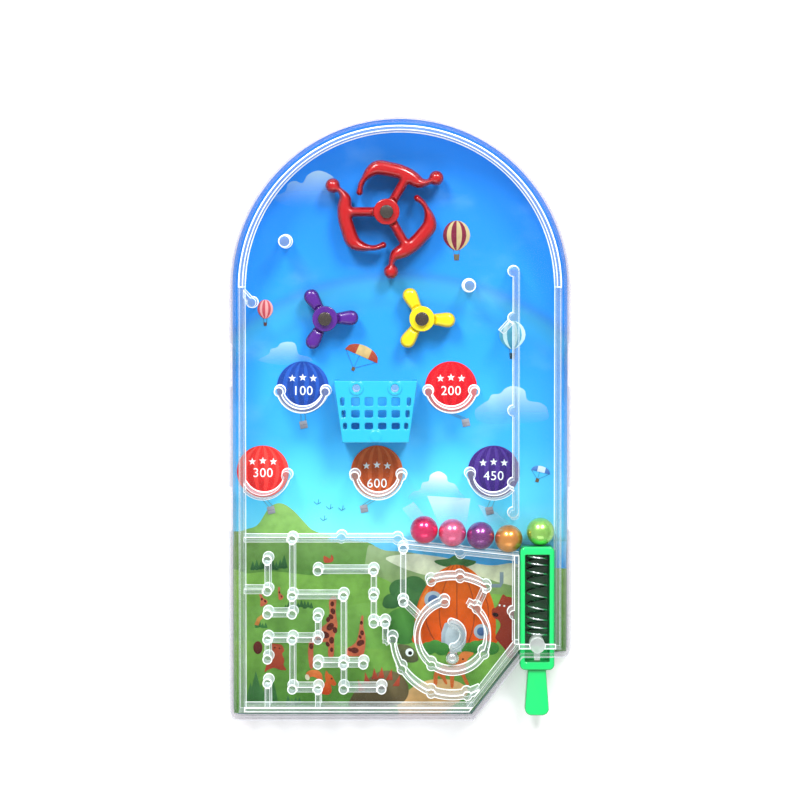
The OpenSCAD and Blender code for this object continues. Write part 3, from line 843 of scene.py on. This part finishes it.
red_trunk = [(0.8, -62.8), (1.6, -58), (1.2, -55.4), (2, -55.2), (2.4, -57.8), (4, -62.8)]
trees.print(red_trunk, "#6b2b22", "#8a3a2a")
crown = [(-2.4, -54.2), (0.2, -50.6), (4, -50), (1.8, -53.4), (5.4, -54), (-3.6, -55)]
CROWN_R = (2.6, 3.4, 3.8, 3.6, 2.8, 1.6)
trees.print([oval(p, r, r * 0.86) for p, r in zip(crown, CROWN_R)], "#37683a", "#4b7c44")
trees.curved(
    [(-5, -61.2), (-3.2, -57.8), (0.6, -56), (4.6, -56.4), (5.4, -60.2), (4.6, -65.6), (1.2, -67),
     (-1.4, -66.2), (-4.2, -64.8)], "#3f7a35", "#56913f"
)
trees.finish()

# %% [markdown]
# ## A round orange cottage
#
# The cottage is a plain pumpkin-like dome with ribs, round windows, an arched door, a leafy
# roof and a stove pipe.

# %% Cottage
cottage = Press("printed_cottage")
DOME = [(5.4, -67), (4.4, -62.8), (4.6, -58), (5.8, -53.4), (8.2, -49), (11.8, -45.2),
    (16.6, -43.4), (21.2, -45), (24.8, -49), (27.2, -53.6), (28.2, -58.8), (28.2, -63.6),
    (27, -67)]
pipe = [(27, -49.6), (29.6, -49.6), (30, -48.6), (30, -45.6)]
cottage.print(stroke(pipe, 1.1), "#7f8f99", "#9aa9b2")
cottage.curved(
    [(12, -43.6), (10.2, -42.2), (14.2, -41.6), (16.4, -40.6), (18.8, -41.6), (22.4, -42.4),
     (21, -43.6), (16.8, -44.4)], "#3f7440", "#5f9155"
)
cottage.curved(DOME, "#e2500f", "#ee6e1e")
RIB_MIDDLE, RIB_TOP, RIB_LOW = 16.8, -43.5, -66.8
ribs = []
for bulge in (-9.4, -5.2, 0.0, 5.2, 9.4):
    rib = []
    for t in range(9):
        bend = math.sin(math.pi * (0.06 + 0.72 * t / 8))
        rib.append((RIB_MIDDLE + bulge * bend, RIB_TOP + (RIB_LOW - RIB_TOP) * t / 8))
    ribs.append(stroke(rib, 0.28, 0.4))
cottage.print(ribs, "#a8431a", "#b94f1e")
cottage.curved(
    [(5, -66), (4.4, -60.2), (5.8, -54.6), (8.4, -50.2), (7, -56), (6.4, -61.4),
     (6.6, -66.2)], "#ea651c", "#f28a3a"
)
for centre, size in (((9.8, -53.8), 2.6), ((24, -63.2), 2.2)):
    cottage.print(oval(centre, size), "#93a2b2", "#b3c0cc")
    cottage.print(oval(centre, size * 0.58), "#3f5a86", "#5473a4")
door = [(12.2, -69.2), (12.2, -63.6), (13.2, -60.8), (15.8, -59.6), (18.2, -60.8),
    (19.4, -63.6), (19.6, -69.2)]
cottage.print(door, "#93a0ad", "#c2ccd6")
inner_door = [(13.4, -69.2), (13.4, -63.8), (14.2, -62), (15.8, -61), (17.2, -62), (18.2, -63.8),
    (18.4, -69.2)]
cottage.print(inner_door, "#a9b5c0", "#d5dde4")
cottage.print(oval((17.6, -65.6), 0.45), "#5c6a78")
bushes = [(8.4, -68.2), (10.4, -67.6), (12.4, -68.4)]
bushes += [(20.4, -68.4), (22.4, -67.8), (24.6, -67.6), (27, -68.2)]
cottage.print([oval(p, 2.3, 1.9) for p in bushes], "#35742f", "#4f933f")
cottage.finish()

# %% [markdown]
# ## Small animals
#
# Simple meadow animals, each a few rounded shapes: giraffes, a bear, a beaver, squirrels, a
# deer and a hedgehog.

# %% Giraffes
animals = Press("printed_animals")


def giraffe(outline, spots, coat="#d9694a", mark="#6a2a22"):
    animals.print(curve_through(outline, steps=3), coat, "#e07a56")
    animals.print([oval(p, 0.62 * k, 0.85 * k, turn) for p, k, turn in spots], mark)


giraffe(
    [(-20.2, -52.8), (-18.8, -53.2), (-19, -57.2), (-18.4, -61.8), (-19.4, -64.8),
    (-19.6, -70.4), (-21.2, -70.4), (-21.2, -66.6), (-22.6, -66.4), (-25.4, -66.6),
    (-25.6, -73.6), (-26.8, -73.6), (-27, -66.8), (-23.8, -62.6), (-21.2, -60.2),
    (-20.8, -57.2), (-21, -54.6)],
    [((-20, -55), 0.9, 0), ((-19.8, -57.2), 1.1, 20), ((-20.4, -58.8), 1.0, 40),
     ((-20.6, -61.8), 1.5, -40), ((-22.2, -64.2), 1.6, 70), ((-19.2, -62.8), 1.1, 10),
     ((-20.2, -65.8), 1.2, 0), ((-21.4, -67), 0.9, 30), ((-23.8, -65.8), 1.0, 60),
     ((-26.2, -67.6), 1.0, 0), ((-20.2, -68.6), 0.8, 0), ((-21.2, -59.6), 1.0, -20)],
)
giraffe(
    [(-11.4, -58.6), (-10.8, -58.8), (-10.8, -61.8), (-10.2, -64.8), (-10.4, -68.6),
    (-11.4, -70.4), (-15.4, -70.4), (-16, -68.6), (-13.2, -66.6), (-12.2, -63.6),
    (-11.8, -60.6)],
    [((-11.4, -60.6), 0.7, 0), ((-11.2, -63.6), 0.9, 10), ((-11.8, -66.6), 1.3, -50),
     ((-13.4, -68.8), 1.4, 80), ((-11, -66.4), 0.8, 0), ((-14.8, -68.6), 0.8, 60),
     ((-11.8, -64.8), 0.7, 30)],
)
giraffe([(-41.6, -52.2), (-40.8, -52.2), (-40.4, -53.2), (-39.2, -54), (-39.4, -55),
    (-41.2, -55.8), (-41.2, -53.6)], [((-40.8, -53.6), 0.5, 0), ((-39.8, -54.2), 0.5, 30)])
giraffe([(-36, -50.2), (-35.4, -50.2), (-35.4, -51.6), (-34.4, -52.8), (-34.8, -53.6),
    (-35.8, -53.6)], [((-35.6, -51.6), 0.4, 0), ((-35, -52.8), 0.4, 30)])

# %% Bear, beaver and squirrels
animals.curved(
    [(29.6, -53.6), (30.4, -52.2), (31.4, -52.8), (33, -53.2), (33.6, -55), (33.6, -69.4),
     (31.8, -70.8), (31, -68.6), (29.2, -66.4), (28.2, -64.8), (29.6, -61.8), (29.2, -60),
     (27.4, -58.8), (27.2, -56.6), (28.6, -55.8)], "#8e2f22", "#a8402c"
)
animals.print(oval((28.2, -58.2), 0.95, 0.6, -20), "#2a1414")
animals.print([oval((29.4, -55.4), 0.3), oval((30.8, -55.6), 0.3)], "#ffffff")
animals.print(oval((-42, -68), 1.35, 1.9), "#5c2520", "#74302a")
animals.curved(
    [(-38, -67), (-37, -66.8), (-35, -67.2), (-34.2, -68.8), (-34.8, -69.8), (-34.2, -71.6),
     (-34.4, -73.2), (-33.6, -74.6), (-35.4, -74.6), (-37.2, -74), (-39, -74.6), (-40, -75.2),
     (-39.4, -73), (-38.2, -71.2), (-37.8, -69.2)], "#b8452f", "#cf5a3c"
)
animals.print([oval((-37, -68), 0.22), oval((-35.6, -68.2), 0.22)], "#2a1414")
animals.curved(
    [(-22.6, -41.6), (-22.4, -40.8), (-21.4, -41.2), (-20.6, -41.6), (-20.2, -40.4),
     (-19.6, -41.6), (-20.2, -42.6), (-22.2, -42.8)], "#c8553a")
animals.curved(
    [(-27.8, -77.2), (-27.6, -75.4), (-26.2, -74.6), (-24.2, -74.8), (-23, -76.2), (-23, -78.8),
     (-23.8, -77.6), (-25.8, -76.6)], "#ea5a2c", "#fa8a48")
animals.print(oval((-27.4, -76.8), 0.65, 0.9, 20), "#fbe9c8")
animals.curved(
    [(-22.2, -76.2), (-21.8, -74.8), (-21, -75.8), (-20.2, -76.2), (-19.4, -77.6), (-18.8, -78.8),
     (-19.6, -79.4), (-20.4, -79), (-20.2, -81), (-21.4, -82), (-23.4, -81.4), (-23, -79.4),
     (-22, -78)], "#e24a1c", "#fb7a38"
)
animals.print(oval((-20.2, -77.2), 0.25), "#2a1414")

# %% Deer and hedgehog
animals.curved(
    [(15.8, -73), (14.6, -73.8), (12.8, -73.2), (10.2, -75.4), (10, -78.8), (11, -78.8),
     (11.2, -76.4), (12.4, -77.2), (13.4, -78.8), (14, -78.6), (13.4, -76.4), (14.6, -76.2),
     (15, -79.6), (15.8, -79.6), (16.2, -76.2), (18, -76.2), (19.4, -78.8), (20.4, -78.8),
     (19.2, -76), (19.4, -73.4)], "#d2622b", "#e57a3c"
)
animals.curved(
    [(16.4, -73), (17.2, -70.8), (18.6, -69.2), (21.4, -69.4), (21.6, -70), (20.2, -71.2),
     (19.4, -72.6), (18, -73.4)], "#dd6c31", "#ec8846"
)
animals.print(oval((18.6, -71.4), 0.3), "#2a1414")
animals.curved(
    [(-0.8, -67.4), (1, -67), (3.4, -67.8), (5, -69.6), (5.4, -71.6), (3.8, -72.4), (1, -72),
     (-0.4, -70)], "#55583a", "#6d6f4a"
)
animals.print(oval((2.8, -69.4), 1.2), "#ffffff")
animals.print(oval((3, -69.6), 0.6), "#16120f")
quills = [(-11.2, -79.6), (-9.6, -77.4), (-7.4, -76.2)]
quills += [(-5.6, -75.8), (-3.2, -76.4), (-1.2, -78.2)]
for number, (x, y) in enumerate(quills):
    lean = (number - 2.5) * 0.5
    quill = [(x - 1.0, y - 1.2), (x + lean, y + 2.2), (x + 1.0, y - 1.2)]
    animals.print(quill, "#a8402c", "#c4563a")
leftmost = [(-43, -61.2), (-42.2, -59.2), (-40.6, -58)]
leftmost += [(-39.6, -58.8), (-41.2, -59.8), (-41.8, -61.4)]
animals.print(leftmost, "#d87a3f", "#efb55c")
animals.finish()

# %% [markdown]
# ## Balloons, parachutes and birds
#
# A small balloon is an oval that narrows to its basket, cut into gores. A gore is the strip
# between two ovals of different width that share the same top and bottom.


# %% Balloons
def gore(centre, width, height, left, right, count=10):
    """The strip of a balloon between two of its seams, given as shares of its half width."""
    side = []
    for share, order in ((left, 1), (right, -1)):
        run = []
        for i in range(count + 1):
            a = math.pi * i / count
            taper = 1.0 if a < math.pi / 2 else 1.0 - 0.25 * math.sin(a - math.pi / 2) ** 2
            x = centre[0] + share * width * math.sin(a) * taper
            run.append((x, centre[1] + height * math.cos(a)))
        side += run[::order]
    return side


balloons = Press("printed_balloons")


def small_balloon(centre, width, height, inks, basket_ink):
    seams = [-1.0, -0.72, -0.4, 0.0, 0.4, 0.72, 1.0]
    for i in range(6):
        strip = gore(centre, width, height, seams[i], seams[i + 1])
        balloons.print(strip, *inks[i % 2])
    x, low = centre[0], centre[1] - height
    rope_end = low - 1.1
    ropes = [
        stroke([(x + s * 0.25 * width, low + 0.3), (x + s * 0.16 * width, rope_end)], 0.09)
        for s in (-1, 1)
    ]
    balloons.print(ropes, "#4a4438")
    size = width * 0.22
    y = rope_end - size
    box = [(1, 1), (-1, 1), (-0.8, -1), (0.8, -1)]
    balloons.print([(x - a * size, y + b * size) for a, b in box], basket_ink)


small_balloon((16.6, 53.6), 4.0, 4.4, (("#6d1a32", "#842640"), ("#b39a6c", "#cdb98a")), "#6e604a")
small_balloon((-39.6, 32), 2.3, 2.8, (("#b23a44", "#c85560"), ("#d98b8c", "#e8a6a4")), "#5a3a3a")
small_balloon((33, 24.4), 3.9, 4.2, (("#3f93b4", "#6bb9cf"), ("#c4e6ea", "#e4f6f6")), "#2f4a58")


def parachute(centre, width, tilt, inks, rope_ink):
    """A cap of gores over a small crate."""
    c, s = math.cos(math.radians(tilt)), math.sin(math.radians(tilt))

    def placed(points):
        return [(centre[0] + c * x - s * y, centre[1] + s * x + c * y) for x, y in points]

    edges = [-1.0, -0.36, 0.42, 1.0]
    for i in range(3):
        rim = [(width * e, 0.0) for e in (edges[i], edges[i + 1])]
        shares = [edges[i] + (edges[i + 1] - edges[i]) * k / 6 for k in range(7)]
        top = [(width * e, width * 0.62 * math.sqrt(max(1 - e**2, 0))) for e in shares]
        outline = [rim[0]] + [p for p in top if p[1] > 0.01] + [rim[1]]
        balloons.print(placed(outline), *inks[i % 2])
    load = (-width * 0.12, -width * 0.8)
    ropes = [stroke(placed([(width * e, 0.0), load]), 0.09) for e in (-0.95, -0.1, 0.9)]
    balloons.print(ropes, rope_ink)
    box = [(-0.5, 0.3), (0.5, 0.3), (0.5, -0.8), (-0.5, -0.8)]
    balloons.print(placed([(load[0] + a, load[1] + b) for a, b in box]), "#6b5642")


parachute((-11.4, 18.2), 5.2, -24, (("#a23b2c", "#bb5238"), ("#c9a468", "#e0c489")), "#3a3a48")
parachute((41.4, -16), 2.9, -14, (("#3f6bb8", "#5f8fd0"), ("#c8dcec", "#e8f2f8")), "#3a4a68")
for x, y in [(-24.2, -25.2), (-20.6, -26.6), (-17, -27), (-22.4, -30)]:
    wing = stroke([(x - 1.2, y + 0.5), (x - 0.3, y - 0.3), (x, y - 0.2), (x + 0.9, y + 0.3)], 0.14)
    balloons.print([wing, stroke([(x, y - 0.2), (x + 0.25, y + 1.2)], 0.12)], "#2f6f8a")
balloons.finish()

# %% [markdown]
# ## Scoring balloons
#
# Behind each cup hangs a round striped balloon with its score. The number is Blender's own
# plain type, turned into a mesh, with a row of stars above it.

# %% Scoring balloons
scores = Press("printed_scores")
GRAY_BASKET = ("#8f8a95", "#b2adb6")
SCORE_R = 7.65
STAR_R, STAR_PITCH, STAR_RISE = 1.15, 3.1, 2.9
NUMBER_DROP = 1.1
TYPE_PER_HEIGHT = 1.38


def star(centre, size):
    points = []
    for i in range(10):
        r = size if i % 2 == 0 else size * 0.42
        a = math.pi / 2 + math.pi * i / 5
        points.append((centre[0] + r * math.cos(a), centre[1] + r * math.sin(a)))
    return points


def hanging_basket(disc, place, size=1.15, turn=12):
    x, y = place
    ropes = [
        stroke([(disc[0] + s * 0.6, disc[1] - SCORE_R), (x + s * 0.7, y + size * 0.8)], 0.1)
        for s in (-1, 1)
    ]
    scores.print(ropes, "#7a6f66")
    scores.print(oval(place, size * 1.35, count=4, turn=45 + turn), *GRAY_BASKET)
    seam = [(x - size * 0.8, y - 0.15), (x + size * 0.8, y + 0.15)]
    scores.print(stroke(seam, 0.12), "#77717d")


STRIPES = [-0.98, -0.78, -0.6, -0.36, -0.2, 0.06, 0.24, 0.5, 0.64, 0.84]
SCORES = (
    ("100", (-28.6, 9), (-28.4, -2), "#1d49a8", "#193a84", "#2c5fc0", 0.0),
    ("200", (15, 9), (19.4, -1.4), "#ea1224", "#bf0c1b", "#f0262e", 0.0),
    ("300", (-40.4, -15.8), (-38, -27.2), "#f4322f", "#ca2022", "#f65048", 0.6),
    ("600", (-6.8, -15.8), (-10.6, -26.8), "#cf5a2b", "#a8431d", "#da6e3e", -2.5),
    ("450", (27.6, -15.8), (26.4, -27.4), "#462980", "#311d66", "#563a94", -0.3),
)
for label, disc, basket, ink, dark, light, drop in SCORES:
    hanging_basket(disc, basket)
    scores.print(oval(disc, SCORE_R, count=56), ink, light)
    pairs = zip(STRIPES[::2], STRIPES[1::2])
    scores.print([gore(disc, SCORE_R, SCORE_R, a, b, 16) for a, b in pairs], dark, ink)
    row = disc[1] + STAR_RISE + drop * 0.4
    stars = [(disc[0] + k * STAR_PITCH, row - abs(k) * 0.25) for k in (-1, 0, 1)]
    scores.print([star(place, STAR_R) for place in stars], "#f4f6f8")
scores.finish()


def score_number(label, place, height=2.75):
    text = bpy.data.curves.new("score_" + label, "FONT")
    text.body = label
    text.align_x = "CENTER"
    text.align_y = "CENTER"
    text.size = height * TYPE_PER_HEIGHT * MM
    text.space_character = 1.08
    mesh = mesh_of(placed_object("score_" + label, text), "printed_number_" + label, INK)
    colours = mesh.color_attributes.new("ink", "FLOAT_COLOR", "CORNER")
    white = linear("#fbfcfd")
    for corner in colours.data:
        corner.color = white
    Press.printed += 1
    z = CARD_TOP + INK_GAP + Press.printed * INK_STEP
    for vertex in mesh.vertices:
        vertex.co += Vector((place[0] * MM, place[1] * MM, z * MM))
    piece = placed_object("printed_number_" + label, mesh)
    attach(piece, "case")


for label, disc, *_, drop in SCORES:
    score_number(label, (disc[0], disc[1] - NUMBER_DROP + drop))
print("layers of ink:", Press.printed)

# %% [markdown]
# ## Basket, spinner and propellers
#
# These are shiny moulded parts: a sky blue basket, a red spinner, and a purple and a yellow
# propeller. The basket's grille and the turning parts are rounded from cells, because their
# outlines have many short edges. The steel pins are turned, so their rings run round them.

# %% Coloured parts
# each second colour is the painted shade of faces turned from the eye
BASKET_BLUE = gloss_plastic("basket_blue", "#24b6e2", "#0f7db0", 0.2)
rounded("basket_front", BASKET_BLUE, 0.2, 5)
moulded("basket_walls", BASKET_BLUE, edge=0.25)
moulded("basket_rivets", CLEAR["post"], edge=0.25)
red = gloss_plastic("spinner_red", "#b5060e", "#650308", 0.16)
domed(rounded("spinner", red, 0.26, 5), 1.9, (middle("spinner_pin"), 3.9))
purple = gloss_plastic("propeller_purple", "#521689", "#2c0a50", 0.2)
domed(rounded("left_propeller", purple, 0.22, 4), 1.7, (middle("left_propeller_pin"), 3.8), 0.6)
yellow = gloss_plastic("propeller_yellow", "#fbe000", "#c09800", 0.2)
domed(rounded("right_propeller", yellow, 0.22, 4), 1.7, (middle("right_propeller_pin"), 3.8), 0.6)
for node in ("spinner_pin", "left_propeller_pin", "right_propeller_pin"):
    centre = middle(node)
    finish = steel(node + "_steel", "#6e6460", 0.2, (centre.x, centre.y), 0.35)
    moulded(node, finish, edge=0.18, segments=3)

# %% [markdown]
# ## Plunger and spring
#
# The plunger is a bright green trough. Its spring is a wire wound on a helix, with its turns
# a little closer at both ends.

# %% Plunger and spring
coil_low, coil_high = (Vector(corner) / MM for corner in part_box("plunger_spring"))
coil_middle, coil_half = (coil_low + coil_high) / 2, (coil_high - coil_low) / 2
plunger_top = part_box("plunger")[1][2] / MM
POCKET_HALF = (coil_half.x + 0.6, coil_half.y + 3.5)
# painted shade: the spring's pocket darkens to deep green towards its floor
POCKET_SHADE = (coil_middle, POCKET_HALF, coil_low.z, plunger_top, "#08461f")
green = gloss_plastic("plunger_green", "#0be474", "#067c3d", 0.3, POCKET_SHADE)
moulded("plunger", green, edge=0.45, segments=3)


def wound_spring(turns=8.5, wire=0.26, per_turn=28, around_wire=10, closing=0.35):
    low, high, centre = coil_low, coil_high, coil_middle
    coil = coil_half.x - wire
    total = int(turns * per_turn)
    bm = bmesh.new()
    rings = []
    for i in range(total + 1):
        t = i / total
        # the turns lie closer together at both ends
        rise = t - math.sin(2 * math.pi * t) / (2 * math.pi) * closing
        angle = 2 * math.pi * turns * t
        y = low.y + wire + (high.y - low.y - 2 * wire) * rise
        ring = []
        for k in range(around_wire):
            b = 2 * math.pi * k / around_wire
            r = coil + wire * math.cos(b)
            x, z = centre.x + r * math.cos(angle), centre.z + r * math.sin(angle)
            ring.append(bm.verts.new(Vector((x, y + wire * math.sin(b), z)) * MM))
        rings.append(ring)
    for a, b in zip(rings, rings[1:]):
        for k in range(around_wire):
            n = (k + 1) % around_wire
            bm.faces.new((a[k], b[k], b[n], a[n]))
    bm.faces.new(rings[0])
    bm.faces.new(rings[-1][::-1])
    bmesh.ops.recalc_face_normals(bm, faces=bm.faces)
    # painted shade with a painted green reflection of the trough on the lower turns of the wire
    painted_shade_low_coils = (centre.z - 0.5, centre.z + 1.5, "#123a22")
    wire_steel = steel("spring_steel", "#e6e8ea", 0.2, shaded=painted_shade_low_coils)
    spring = object_from(bm, "plunger_spring_wire", wire_steel)
    smooth_by_angle(spring, 60)
    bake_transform(spring)
    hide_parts("plunger_spring")
    print("spring length", round(high.y - low.y, 2), "mm")


wound_spring()

# %% [markdown]
# ## Beads and steel ball
#
# Each bead is a finely divided sphere with the small flat of its drilled hole turned to the
# back, as a strung bead has.


# %% Beads
def round_bead(node, material, hole=0.0):
    low, high = (Vector(c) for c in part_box(node))
    centre, radius = (low + high) / 2, (high.x - low.x) / 2
    bm = bmesh.new()
    bmesh.ops.create_icosphere(bm, subdivisions=5, radius=radius)
    for v in bm.verts:
        if hole and v.co.z < 0 and math.hypot(v.co.x, v.co.y) < hole * MM:
            v.co.z += hole * MM * 0.8
        v.co += centre
    piece = object_from(bm, node + "_round", material)
    for face in piece.data.polygons:
        face.use_smooth = True
    settled(piece, node)


for node, colour, deep in (
    ("bead_magenta", "#f01464", "#d80a52"),
    ("bead_pink", "#f8709a", "#ec5a84"),
    ("bead_purple", "#8f3a8c", "#782c78"),
    ("bead_gold", "#e89640", "#d88430"),
    ("bead_green", "#a6e068", "#94d058"),
):
    round_bead(node, pearl(node + "_pearl", colour, deep), hole=0.6)
round_bead("steel_ball", steel("ball_steel", "#fbfaf6", 0.12))

# %% [markdown]
# ## Studio
#
# A pale floor, an even white room and two soft lamps beyond the top of the toy, which give
# each bead its pair of highlights. A wide weak lamp fills in the shadows from the foot.

# %% Studio
floor_mesh = bpy.data.meshes.new("studio_floor")
SIDE, FLOOR_Z = 1.6, -0.0002
corners = [(-SIDE, -SIDE), (SIDE, -SIDE), (SIDE, SIDE), (-SIDE, SIDE)]
floor_mesh.from_pydata([(x, y, FLOOR_Z) for x, y in corners], [], [(0, 1, 2, 3)])
paper = Finish("studio_paper")
pale_paper = paper.surface(
    Base_Color=(0.93, 0.93, 0.93, 1),
    Roughness=0.9,
    Emission_Color=(1, 1, 1, 1),
    Emission_Strength=0.16,
)
floor_mesh.materials.append(paper.done(pale_paper))
floor = placed_object("studio_floor", floor_mesh)

ROOM_LIGHT = 0.585
world = bpy.data.worlds.new("studio_room")
bpy.context.scene.world = world
world.use_nodes = True
room = world.node_tree.nodes["Background"]
room.inputs[0].default_value = (1.0, 1.0, 1.0, 1)
room.inputs[1].default_value = ROOM_LIGHT


def lamp(name, place, aim, size, watts):
    data = bpy.data.lights.new(name, "AREA")
    data.shape = "RECTANGLE"
    data.size, data.size_y = size
    data.energy = watts
    holder = placed_object(name, data)
    holder.location = place
    holder.rotation_euler = (Vector(aim) - Vector(place)).to_track_quat("-Z", "Y").to_euler()


WINDOW_SIZE, WINDOW_WATTS = (0.23, 0.3), 6.6
for name, side in (("left_window", -0.3), ("right_window", 0.3)):
    lamp(name, (side, 0.62, 0.62), (0, 0, 0), WINDOW_SIZE, WINDOW_WATTS)
lamp("front_fill", (0.0, -0.9, 0.8), (0, 0, 0), (1.0, 0.4), 2.4)

# %% [markdown]
# ## Camera
#
# The camera looks almost straight down on the playing face, from a little beyond its middle.

# %% Camera
camera_data = bpy.data.cameras.new("camera")
camera = placed_object("camera", camera_data)
eye = Vector((0.0, 0.0494, 0.9))
target = Vector((0.0001, 0.0052, 0.0))
camera.location = eye
camera.rotation_euler = (-math.atan2(eye.y - target.y, eye.z), 0.0, 0.0)
SENSOR_WIDTH, FIELD_WIDTH = 36.0, 0.2358
camera_data.sensor_width = SENSOR_WIDTH
camera_data.lens = SENSOR_WIDTH * (eye - target).length / FIELD_WIDTH
scene = bpy.context.scene
scene.camera = camera
scene.view_settings.view_transform = "Standard"
# many clear skins lie one over another, and light has to pass them all
scene.cycles.transparent_max_bounces = 64
print("lens", round(camera_data.lens, 1), "mm")
